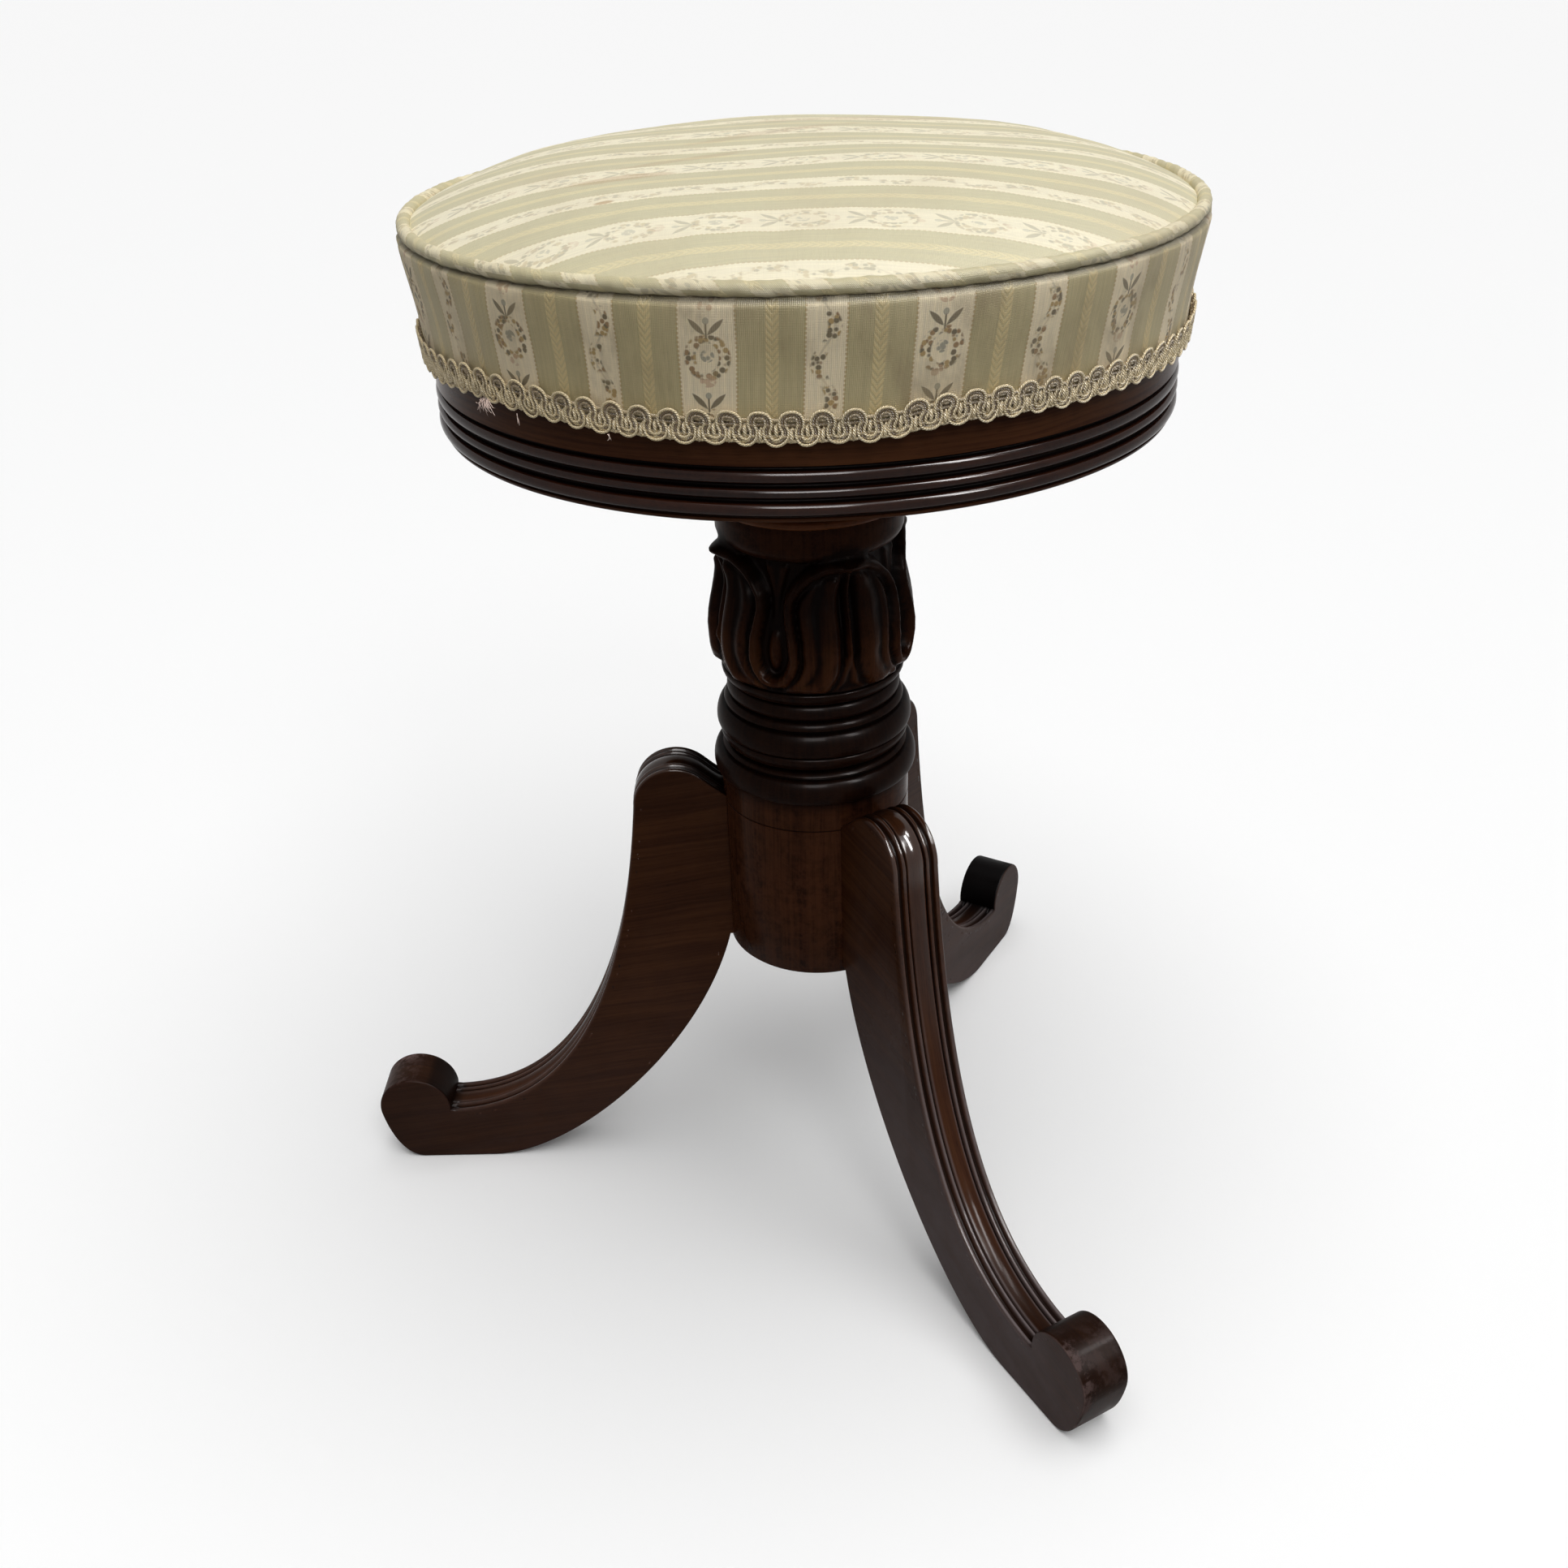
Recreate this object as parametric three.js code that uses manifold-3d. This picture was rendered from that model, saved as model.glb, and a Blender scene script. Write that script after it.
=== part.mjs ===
import * as THREE from "three";
import { mergeVertices } from "three/addons/utils/BufferGeometryUtils.js";
import Module from "manifold-3d";

// A revolving piano stool: a carved column on three reeded scroll legs, and a round stuffed seat that
// a screw under it raises out of a nut in the column's top. Millimetres, +Z up, floor at z = 0.
// Pieces are built round the column's own axis; the last lines move that axis so that the box of the
// whole stool is centred over the origin.

// Clearances and facets
const seatGap = 0.3; // between pieces that rest on each other or are let in
const cutOverrun = 2; // how far a cutter passes the face that it cuts
const weldTolerance = 0.0001; // vertices closer than this are one
const roundSteps = 48; // facets round the seat
const smallSteps = 24; // round the screw, its nut and its washer
const screwSteps = 8; // round a wood screw

// Column, from the floor up
const drumBottomZ = 137.5;
const drumRadius = 43.6;
const drumHeight = 94.5;
const grooveDepth = 1.8; // the dark line between the drum and its collar
const grooveHeight = 1.2;
const collarRadius = 47.1;
const collarHeight = 4.2;
const lowerRingRadius = 45.2;
const lowerRingHeight = 11.6;
const notchRadius = 40.3;
const upperRingRadius = 44.6;
const upperRingHeight = 23;
const waistRadius = 38.5;
const waistHeight = 4;
const vaseRadius = 44.2; // the carved bulge, bare of its leaves
const vaseHeight = 69;
const neckRadius = 41.3;
const neckHeight = 15;

// Carved leaves on the vase: four large ones, with a tulip-shaped space between each two
const leafCount = 4;
const leafThickness = 2.4;
const leafTipFlare = 3.4; // how far a tip rolls out beyond the leaf
const leafBandWidth = 4; // the raised border of a large leaf
const leafTurn = 21.5; // degrees from +X to a midrib
const fluteDepth = 2.2;
const ribHeight = 0.4;
const ribWidth = 3;
const gapDepth = 1.4; // the sunk ground beside the border
const budHeight = 1.3; // the small inner leaf above that ground

// Bore of the column
const boreClearance = 1.8; // round the stop washer
const boreDepthBelowStop = 9;

// Legs
const legCount = 3;
const firstLegTurn = 180; // degrees
const legReach = 233.6; // from the axis to the tip of a toe
const legThickness = 23.7;
const legTopZ = 218; // where the upper edge meets the drum
const kneeRadius = 20;
const kneeOut = 23; // of the knee's centre beyond the drum
const kneeZ = 213.5;
const shinTopLean = 10.6; // handles of the curve from the knee to the toe
const shinTopHandle = 104;
const shinToeHandle = 67;
const toeStepZ = 32.5; // upper face of the leg where it meets the scroll
const legFootZ = 140; // lower end of the leg's joint with the drum
const calfTopLean = 16.7; // handles of the lower edge's curve
const calfTopHandle = 68;
const calfToeHandle = 46;
const heelBack = 56.6; // from the toe's tip to where the foot first touches the floor
const toeFlatBack = 22.6; // and to where it leaves it again
const scrollRadius = 19;
const scrollHeight = 53.7;
const toeNoseZ = 16;
const toeNoseBack = 4.1;
const toeChinZ = 5.5;
const toeChinBack = 11.6;

// Reeds along the upper face of a leg
const reedCount = 3;
const middleReedWidth = 9.1;
const quirkWidth = 1;
const quirkDepth = 2.2;
const reedSkim = 0.3; // taken off the crests
const reedCutterHeight = 14;

// Sliding dovetails between the legs and the drum
const tenonDepth = 13;
const tenonTipWidth = 18;
const tenonRootWidth = 13;
const tenonTopBelowLeg = 6;

// Iron plate under the drum, with an arm below each dovetail
const basePlateThickness = 2.5;
const basePlateRadius = 20;
const basePlateInset = 2.6; // from the drum's edge to the tip of an arm
const basePlateSteps = 60;
const basePlateScrewInset = 8.1;

// Nut
const nutFlangeRadius = 27;
const nutFlangeThickness = 4;
const nutBarrelRadius = 18;
const nutBarrelLength = 42;
const nutScrewCount = 3;
const nutScrewRadius = 22.5;

// Seat screw, its travel and its stop
const screwRadius = 12.5;
const screwPitch = 8;
const seatRise = 90;
const pivotRadius = 5.5; // the thin end that carries the stop washer
const pivotLength = 4.6;
const washerThickness = 4;
const washerRadius = 16.5;
const stopHeadRadius = 9;
const stopHeadThickness = 4;
const stopShankRadius = 2.5;
const stopShankLength = 15;
const spigotRadius = 9; // upper end of the screw, riveted in its plate

// Plate that fixes the screw to the seat board
const screwPlateRadius = 35;
const screwPlateThickness = 5;
const plateScrewCount = 4;
const plateScrewRadius = 25;

// Boss between the column and the seat
const bossHeight = 57.7;
const bossFootRadius = 42;
const bossBeadHeight = 5.5;
const bossBeadSwell = 1.6;
const bossTopRadius = 70;
const bossRimHeight = 14;
const bossBoreRadius = 14;

// Seat rim and board
const rimRadius = 150.5;
const rimHeight = 34;
const rimAboveBossFoot = 43.7;
const rimLedgeHeight = 14;
const rimWall = 20.5; // from its outer face in to the board
const rimRebateWidth = 12; // of the ledge that carries the board
const rimReedCount = 3;
const rimReedPitch = 5.4;
const rimReedDepth = 1.9;
const rimReedSwell = 0.6;
const rimReedsUp = 8.2;
const rimRoundRadius = 4.5;
const boardScrewCount = 4;

// Upholstery
const clothThickness = 1.5;
const pipingOverhang = 4.5; // of the piping's middle beyond the rim
const pipingCordRadius = 2.6;
const pipingAboveRim = 46;
const crownHeight = 22;
const crownPower = 3.2; // how flat the crown is before it falls to the piping
const borderBulge = 2.2;
const borderBulgeUp = 36;
const borderLap = 8; // how far the border covers the rim
const gimpHeight = 12.5;
const gimpThickness = 1.8;

// Wood screws
const woodHeadRadius = 4;
const woodHeadHeight = 2.2;
const woodShankRadius = 2.1;
const woodShankShare = 0.7; // of the length under the head, the rest is the point
const slotWidth = 0.9;
const slotDepth = 1;
const shortScrewLength = 20;
const longScrewLength = 24;

// Heights worked out from the sizes above
const drumTopZ = drumBottomZ + drumHeight;
const collarZ = drumTopZ + grooveHeight;
const lowerRingZ = collarZ + collarHeight;
const notchZ = lowerRingZ + lowerRingHeight;
const waistZ = notchZ + upperRingHeight;
const vaseZ = waistZ + waistHeight;
const neckZ = vaseZ + vaseHeight;
const columnTopZ = neckZ + neckHeight;
const nutBottomZ = columnTopZ - nutFlangeThickness - nutBarrelLength;
const screwShoulderZ = nutBottomZ - seatRise;
const pivotEndZ = screwShoulderZ - pivotLength;
const washerTopZ = screwShoulderZ - seatGap;
const bossFootZ = columnTopZ + seatGap;
const bossTopZ = bossFootZ + bossHeight;
const plateTopZ = bossTopZ;
const plateBottomZ = plateTopZ - screwPlateThickness;
const rimBottomZ = bossFootZ + rimAboveBossFoot;
const rimTopZ = rimBottomZ + rimHeight;
const boardBottomZ = bossTopZ + seatGap;
const ledgeZ = rimBottomZ + rimLedgeHeight;
const pipingZ = rimTopZ + pipingAboveRim;

// Radii worked out from the sizes above
const boardRadius = rimRadius - rimWall;
const rimInnerRadius = boardRadius - rimRebateWidth;
const pipingRadius = rimRadius + pipingOverhang;
const basePlateArm = drumRadius - basePlateInset - basePlateRadius;
const basePlateScrewRadius = drumRadius - basePlateScrewInset;
const kneeX = drumRadius + kneeOut;
const heelX = legReach - heelBack;
const toeFlatX = legReach - toeFlatBack;
const boreRadius = Math.max(nutBarrelRadius + seatGap, washerRadius + boreClearance);
const toeStepX = legReach - 2 * scrollRadius; // inner face of the scroll
const turn = 2 * Math.PI;

const mahogany = new THREE.MeshStandardMaterial({ color: 0x3b1e14, roughness: 0.32, metalness: 0 });
const beech = new THREE.MeshStandardMaterial({ color: 0x9a7448, roughness: 0.7, metalness: 0 });
const iron = new THREE.MeshStandardMaterial({ color: 0x3c3a38, roughness: 0.5, metalness: 0.9 });
const steel = new THREE.MeshStandardMaterial({ color: 0x8d8c88, roughness: 0.35, metalness: 1 });
const brass = new THREE.MeshStandardMaterial({ color: 0x9c7b3a, roughness: 0.4, metalness: 1 });
const brocade = new THREE.MeshStandardMaterial({ color: 0xc9c3a2, roughness: 0.85, metalness: 0 });
const cord = new THREE.MeshStandardMaterial({ color: 0xa39a72, roughness: 0.85, metalness: 0 });
const braid = new THREE.MeshStandardMaterial({ color: 0xb7a377, roughness: 0.9, metalness: 0 });
const horsehair = new THREE.MeshStandardMaterial({ color: 0x6a5a45, roughness: 1, metalness: 0 });

const wasm = await Module();
wasm.setup();

const point = (x, y) => new THREE.Vector2(x, y);
const angleOf = (index, count) => (turn * index) / count;
const mix = (a, b, share) => a + (b - a) * share;

// A closed three.js geometry as a solid that can be cut and joined.
function solidOf(geometry) {
  const bare = new THREE.BufferGeometry();
  bare.setAttribute("position", geometry.getAttribute("position"));
  bare.setIndex(geometry.getIndex());
  const merged = mergeVertices(bare, weldTolerance);
  const mesh = new wasm.Mesh({
    numProp: 3,
    vertProperties: merged.getAttribute("position").array,
    triVerts: new Uint32Array(merged.getIndex().array),
  });
  return new wasm.Manifold(mesh);
}

// A solid back as a geometry.
function geometryOf(solid) {
  const { vertProperties, triVerts } = solid.getMesh();
  const geometry = new THREE.BufferGeometry();
  geometry.setAttribute("position", new THREE.BufferAttribute(vertProperties, 3));
  geometry.setIndex(new THREE.BufferAttribute(triVerts, 1));
  geometry.computeVertexNormals();
  return geometry;
}

function cut(geometry, cutters) {
  const left = cutters.reduce((solid, cutter) => solid.subtract(solidOf(cutter)), solidOf(geometry));
  return geometryOf(left);
}

function join(geometry, additions) {
  const whole = additions.reduce((solid, extra) => solid.add(solidOf(extra)), solidOf(geometry));
  return geometryOf(whole);
}

// A profile of (radius, height) points, turned round the Z axis. It runs up the outer side.
function turned(profile, steps = roundSteps) {
  return new THREE.LatheGeometry(profile, steps).rotateX(Math.PI / 2);
}

// A turned ring whose profile closes on itself.
function turnedRing(profile, steps = roundSteps) {
  return turned([...profile, profile[0]], steps);
}

// A plain turned cylinder.
function rod(radius, bottomZ, topZ, steps) {
  return turned([point(0, bottomZ), point(radius, bottomZ), point(radius, topZ), point(0, topZ)], steps);
}

// Points of an elliptic bead from (radius, z) up by height, swelling outwards.
function bead(radius, z, height, swell, steps) {
  const rise = height / 2;
  const half = new THREE.EllipseCurve(radius, z + rise, swell, rise, -Math.PI / 2, Math.PI / 2);
  return half.getPoints(steps);
}

// An outline in the X-Z plane as a slab of the given thickness, centred on y = 0.
function slab(points, thickness) {
  const geometry = new THREE.ExtrudeGeometry(new THREE.Shape(points), {
    depth: thickness,
    bevelEnabled: false,
  });
  return geometry.rotateX(Math.PI / 2).translate(0, thickness / 2, 0);
}

// An outline in the X-Y plane raised from bottomZ by height.
function prism(points, bottomZ, height) {
  const geometry = new THREE.ExtrudeGeometry(new THREE.Shape(points), { depth: height, bevelEnabled: false });
  return geometry.translate(0, 0, bottomZ);
}

// A geometry from rings of vertices, each ring the same length, with a fan or a polygon at each end.
function skinned(rings, startFaces, endFaces) {
  const width = rings[0].length;
  const positions = rings.flat().flatMap((v) => [v.x, v.y, v.z]);
  const faces = [];
  for (let i = 0; i + 1 < rings.length; i++) {
    for (let k = 0; k < width; k++) {
      const next = (k + 1) % width;
      const a = i * width + k;
      const b = i * width + next;
      const c = (i + 1) * width + next;
      const d = (i + 1) * width + k;
      faces.push(a, b, c, a, c, d);
    }
  }
  const last = (rings.length - 1) * width;
  startFaces.forEach(([a, b, c]) => faces.push(a, c, b));
  endFaces.forEach(([a, b, c]) => faces.push(last + a, last + b, last + c));
  const geometry = new THREE.BufferGeometry();
  geometry.setAttribute("position", new THREE.Float32BufferAttribute(positions, 3));
  geometry.setIndex(faces);
  return geometry;
}

// A slotted countersunk screw whose head is flush with z = 0 and whose point is at z = -length.
function screwProfile(length, spare) {
  const shank = woodShankRadius + spare;
  return [
    point(0, -length - spare),
    point(shank, mix(-woodHeadHeight, -length, woodShankShare)),
    point(shank, -woodHeadHeight),
    point(woodHeadRadius + spare, 0),
  ];
}

function screwBody(length) {
  const body = turned([...screwProfile(length, 0), point(0, 0)], screwSteps);
  const slotLength = 2 * (woodHeadRadius + cutOverrun);
  const slot = new THREE.BoxGeometry(slotLength, slotWidth, 2 * slotDepth);
  return cut(body, [slot]);
}

// The hole that the same screw sits in, open past the face.
function screwHole(length) {
  const mouth = point(woodHeadRadius + seatGap, cutOverrun);
  return turned([...screwProfile(length, seatGap), mouth, point(0, cutOverrun)], screwSteps);
}

// A copy of a geometry moved out along X, turned about Z, raised, and flipped when it points up.
function placed(geometry, radius, angle, z, pointsUp = false) {
  const copy = geometry.clone();
  if (pointsUp) copy.rotateX(Math.PI);
  return copy.translate(radius, 0, z).rotateZ(angle);
}

function ringOf(count, startAngle, make) {
  return Array.from({ length: count }, (_, i) => make(startAngle + angleOf(i, count), i));
}

// The value at a share along a table of [share, value] pairs.
function readTable(table, share) {
  const index = table.findIndex(([start]) => start >= share);
  if (index < 1) return table[0][1];
  const [lowShare, lowValue] = table[index - 1];
  const [highShare, highValue] = table[index];
  return mix(lowValue, highValue, (share - lowShare) / (highShare - lowShare));
}

// Column profile: radius and height of each turned member, bottom to top, up to the waist
const ovoloHoldShare = 0.7; // how far up the ovolo stays upright
function mouldings() {
  const grooveRadius = drumRadius - grooveDepth;
  const ovolo = new THREE.QuadraticBezierCurve(
    point(lowerRingRadius, lowerRingZ),
    point(lowerRingRadius, mix(lowerRingZ, notchZ, ovoloHoldShare)),
    point(notchRadius, notchZ),
  );
  return [
    point(drumRadius, drumBottomZ),
    point(drumRadius, drumTopZ),
    point(grooveRadius, drumTopZ + grooveHeight / 2),
    ...bead(drumRadius, collarZ, collarHeight, collarRadius - drumRadius, 4).slice(0, -1),
    ...ovolo.getPoints(4),
    ...bead(notchRadius, notchZ, upperRingHeight, upperRingRadius - notchRadius, 7).slice(1),
  ];
}

// Swell of the bare vase by height, from the waist's radius to its own: quick to fill, slow to close
const vaseSwellShares = [
  [0, 0], [0.1, 0.35], [0.2, 0.78], [0.3, 0.96], [0.43, 1], [0.52, 0.92], [0.6, 0.74], [0.7, 0.44],
  [0.8, 0.22], [0.9, 0.14], [1, 0.14],
];

// Where the border of a large leaf runs, from the foot of the tulip shape through its throat and out
// to the leaf's tip: height as a share of the vase's, angle as a share of the way to the midrib
const borderShares = [
  [0, 0.24], [0.3, 0.25], [0.38, 0.27], [0.5, 0.25], [0.62, 0.2], [0.7, 0.19], [0.77, 0.22],
  [0.84, 0.32], [0.9, 0.46], [0.945, 0.62], [0.975, 0.76], [1, 0.8],
];

// Rows of the carving, and where along them the leaves start, the tulip shapes open and tips roll out
const leafRowShares = [
  0.08, 0.14, 0.19, 0.235, 0.27, 0.33, 0.42, 0.52, 0.62, 0.71, 0.79, 0.86, 0.91, 0.95, 0.98,
];
const leafFootShare = 0.12;
const tulipFootShare = 0.25;
const tipStartShare = 0.78;

// Across a row
const budEdgeShare = 0.45; // of the way from the bud's axis to the border
const innerCrestShare = 0.35; // of half the border's width
const outerCrestShare = 0.6;
const outerCrestLimitShare = 0.3; // of the way from the border to the rib
const tipFluteShare = 0.6; // how much of the flute a rolled tip loses
const ribFluteShare = 0.7; // depth of the flute beside the rib
const sectorColumns = 7; // from the axis of a tulip shape to the midrib beside it
const columnSteps = 2 * leafCount * sectorColumns;

// Angles (as shares of the way to the midrib) and lifts above the bare vase of one row's columns:
// bud, bud's edge, sunk ground, both crests of the border, flute, rib's edge and midrib.
function carvedRow(share) {
  const radius = mix(waistRadius, vaseRadius, readTable(vaseSwellShares, share));
  const eighth = turn / (2 * leafCount);
  const half = leafBandWidth / 2 / radius / eighth;
  const rib = 1 - ribWidth / 2 / radius / eighth;
  const border = readTable(borderShares, share);
  const inner = border - half * innerCrestShare;
  const outer = Math.min(border + half * outerCrestShare, mix(border, rib, outerCrestLimitShare));
  const carved = [0, border * budEdgeShare, border - half, inner, outer, mix(outer, rib, 0.5), rib, 1];
  const hasLeaf = share >= leafFootShare;
  const hasTulip = share >= tulipFootShare;
  const tip = Math.max(0, (share - tipStartShare) / (1 - tipStartShare)) ** 2;
  const leaf = hasLeaf ? leafThickness + leafTipFlare * tip : 0;
  const flute = Math.min(leaf, fluteDepth) * (1 - tipFluteShare * tip);
  const bud = hasTulip ? budHeight - gapDepth : leaf;
  const ground = hasTulip ? -gapDepth : leaf;
  const midrib = hasLeaf ? leaf + ribHeight : 0;
  const lifts = [bud, bud, ground, leaf, leaf, leaf - flute, leaf - flute * ribFluteShare, midrib];
  const angles = carved.map((value, k) => (hasLeaf ? value : k / sectorColumns));
  return { radius, lifts, angles };
}

// A ring of vertices for one row of the carving, mirrored from sector to sector.
function leafRing(row, z) {
  const eighth = turn / (2 * leafCount);
  const ring = [];
  for (let sector = 0; sector < 2 * leafCount; sector++) {
    for (let k = 0; k < sectorColumns; k++) {
      const mirrored = sector % 2 === 1;
      const index = mirrored ? sectorColumns - k : k;
      const across = mirrored ? 1 - row.angles[index] : row.angles[index];
      const angle = THREE.MathUtils.degToRad(leafTurn) + eighth * (1 + sector + across);
      const out = row.radius + row.lifts[index];
      ring.push(new THREE.Vector3(out * Math.cos(angle), out * Math.sin(angle), z));
    }
  }
  return ring;
}

// A plain turned ring with evenly spaced vertices, in step with the carved ones.
function plainRing(radius, z) {
  const angles = Array.from({ length: sectorColumns + 1 }, (_, k) => k / sectorColumns);
  return leafRing({ radius, angles, lifts: angles.map(() => 0) }, z);
}

const legAngles = ringOf(legCount, THREE.MathUtils.degToRad(firstLegTurn), (angle) => angle);
const nutScrewAngles = ringOf(nutScrewCount, 0, (angle) => angle);

function dovetail(spare, bottomZ, topZ) {
  const tip = tenonTipWidth / 2 + spare;
  const root = tenonRootWidth / 2 + spare;
  const inner = drumRadius - tenonDepth - spare;
  const outer = drumRadius + cutOverrun;
  const outline = [point(inner, -tip), point(outer, -root), point(outer, root), point(inner, tip)];
  return prism(outline, bottomZ, topZ - bottomZ);
}

const tenonTopZ = legTopZ - tenonTopBelowLeg;
const neckStepShare = 0.15; // of the neck, between the last leaf tips and its plain part

function columnGeometry() {
  const rings = [
    ...mouldings().map((p) => plainRing(p.x, p.y)),
    plainRing(waistRadius, vaseZ),
    ...leafRowShares.map((share) => leafRing(carvedRow(share), mix(vaseZ, neckZ, share))),
    leafRing({ ...carvedRow(1), radius: neckRadius, lifts: carvedRow(0).lifts }, neckZ),
    plainRing(neckRadius, mix(neckZ, columnTopZ, neckStepShare)),
    plainRing(neckRadius, columnTopZ),
  ];
  const fan = Array.from({ length: columnSteps - 2 }, (_, k) => [0, k + 1, k + 2]);
  const bore = turned([
    point(0, pivotEndZ - boreDepthBelowStop),
    point(boreRadius, pivotEndZ - boreDepthBelowStop),
    point(boreRadius, columnTopZ - nutFlangeThickness - seatGap),
    point(nutFlangeRadius + seatGap, columnTopZ - nutFlangeThickness - seatGap),
    point(nutFlangeRadius + seatGap, columnTopZ + cutOverrun),
    point(0, columnTopZ + cutOverrun),
  ]);
  const slots = legAngles.map((angle) => {
    return dovetail(seatGap, drumBottomZ - cutOverrun, tenonTopZ + seatGap).rotateZ(angle);
  });
  const holes = nutScrewAngles.map((angle) => {
    return placed(screwHole(shortScrewLength), nutScrewRadius, angle, columnTopZ);
  });
  return cut(skinned(rings, fan, fan), [bore, ...slots, ...holes]);
}

function nutGeometry() {
  const inner = screwRadius + seatGap;
  const barrel = turnedRing(
    [
      point(inner, nutBottomZ),
      point(nutBarrelRadius, nutBottomZ),
      point(nutBarrelRadius, columnTopZ - nutFlangeThickness),
      point(nutFlangeRadius, columnTopZ - nutFlangeThickness),
      point(nutFlangeRadius, columnTopZ),
      point(inner, columnTopZ),
    ],
    smallSteps,
  );
  const holes = nutScrewAngles.map((angle) => {
    return placed(screwHole(shortScrewLength), nutScrewRadius, angle, columnTopZ);
  });
  return cut(barrel, holes);
}

// Upper edge of a leg in the X-Z plane: a ramp up from the drum, the round knee, and the long curve
// that runs out flat to the scroll.
function legUpperEdge() {
  const inside = drumRadius - cutOverrun;
  const shin = new THREE.CubicBezierCurve(
    point(kneeX + kneeRadius, kneeZ),
    point(kneeX + kneeRadius + shinTopLean, kneeZ - shinTopHandle),
    point(toeStepX - shinToeHandle, toeStepZ),
    point(toeStepX, toeStepZ),
  );
  const toDrum = Math.hypot(kneeX - inside, kneeZ - legTopZ);
  const rampTurn = Math.atan2(legTopZ - kneeZ, inside - kneeX) - Math.acos(kneeRadius / toDrum);
  const knee = new THREE.EllipseCurve(kneeX, kneeZ, kneeRadius, kneeRadius, rampTurn, 0, true);
  return [point(inside, legTopZ), ...knee.getPoints(8), ...shin.getPoints(15).slice(1)];
}

// Side outline of a leg: foot, scroll, upper edge back to the drum, and the lower edge down again.
function legOutline() {
  const scrollX = legReach - scrollRadius;
  const scrollZ = scrollHeight - scrollRadius;
  const scroll = new THREE.EllipseCurve(scrollX, scrollZ, scrollRadius, scrollRadius, 0, Math.PI);
  const inside = drumRadius - cutOverrun;
  const calf = new THREE.CubicBezierCurve(
    point(drumRadius, legFootZ),
    point(drumRadius + calfTopLean, legFootZ - calfTopHandle),
    point(heelX - calfToeHandle, 0),
    point(heelX, 0),
  );
  return [
    point(toeFlatX, 0),
    point(legReach - toeChinBack, toeChinZ),
    point(legReach - toeNoseBack, toeNoseZ),
    ...scroll.getPoints(12),
    ...legUpperEdge().reverse(),
    point(inside, legFootZ),
    ...calf.getPoints(14),
  ];
}

// Across a leg's upper face: reeds that stand on sunk quirks, and open air above them.
function reedSection() {
  const sideReedWidth = (legThickness - middleReedWidth - (reedCount - 1) * quirkWidth) / (reedCount - 1);
  const widths = [sideReedWidth, middleReedWidth, sideReedWidth];
  const edge = legThickness / 2 + cutOverrun;
  const floor = [point(-edge, -quirkDepth)];
  let start = -legThickness / 2;
  widths.forEach((width) => {
    const crest = new THREE.EllipseCurve(
      start + width / 2, -quirkDepth, width / 2, quirkDepth - reedSkim, Math.PI, 0, true,
    );
    floor.push(...crest.getPoints(4));
    start += width + quirkWidth;
  });
  floor.push(point(edge, -quirkDepth));
  return [...floor, point(edge, reedCutterHeight), point(-edge, reedCutterHeight)];
}

// The waste above the reeds, swept along the upper edge square to it.
function reedCutter() {
  const path = legUpperEdge();
  const section = reedSection();
  const rings = path.map((place, i) => {
    const before = path[Math.max(0, i - 1)];
    const after = path[Math.min(path.length - 1, i + 1)];
    const along = i === path.length - 1 ? point(1, 0) : after.clone().sub(before).normalize();
    const out = point(-along.y, along.x);
    return section.map((s) => new THREE.Vector3(place.x + out.x * s.y, s.x, place.y + out.y * s.y));
  });
  const ends = THREE.ShapeUtils.triangulateShape(section, []);
  return skinned(rings, ends, ends);
}

function legGeometry() {
  const clearance = rod(drumRadius + seatGap, 0, columnTopZ, roundSteps);
  const plain = cut(slab(legOutline(), legThickness), [reedCutter(), clearance]);
  const tenonBottomZ = drumBottomZ + seatGap;
  const withTenon = join(plain, [dovetail(0, tenonBottomZ, tenonTopZ)]);
  const holeZ = drumBottomZ - basePlateThickness;
  return cut(withTenon, [placed(screwHole(longScrewLength), basePlateScrewRadius, 0, holeZ, true)]);
}

// A three-lobed plate: a disc whose rim runs out to an arm under each leg.
const armPower = 1.5; // higher makes the arms slimmer
function basePlateGeometry() {
  const outline = ringOf(basePlateSteps, 0, (angle) => {
    const lobe = (1 + Math.cos(legCount * (angle - legAngles[0]))) / 2;
    const radius = basePlateRadius + basePlateArm * lobe ** armPower;
    return point(radius * Math.cos(angle), radius * Math.sin(angle));
  });
  const bottomZ = drumBottomZ - basePlateThickness;
  const holes = legAngles.map((angle) => {
    return placed(screwHole(longScrewLength), basePlateScrewRadius, angle, bottomZ, true);
  });
  return cut(prism(outline, bottomZ, basePlateThickness - seatGap), holes);
}

function seatScrewGeometry() {
  const body = turned(
    [
      point(0, pivotEndZ),
      point(pivotRadius, pivotEndZ),
      point(pivotRadius, screwShoulderZ),
      point(screwRadius, screwShoulderZ),
      point(screwRadius, plateBottomZ - seatGap),
      point(spigotRadius, plateBottomZ - seatGap),
      point(spigotRadius, plateTopZ),
      point(0, plateTopZ),
    ],
    smallSteps,
  );
  const tapped = rod(
    stopShankRadius + seatGap, pivotEndZ - cutOverrun, pivotEndZ + stopShankLength + seatGap, screwSteps,
  );
  return cut(body, [tapped]);
}

function stopWasherGeometry() {
  const inner = pivotRadius + seatGap;
  const bottomZ = washerTopZ - washerThickness;
  return turnedRing(
    [
      point(inner, bottomZ),
      point(washerRadius, bottomZ),
      point(washerRadius, washerTopZ),
      point(inner, washerTopZ),
    ],
    smallSteps,
  );
}

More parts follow.
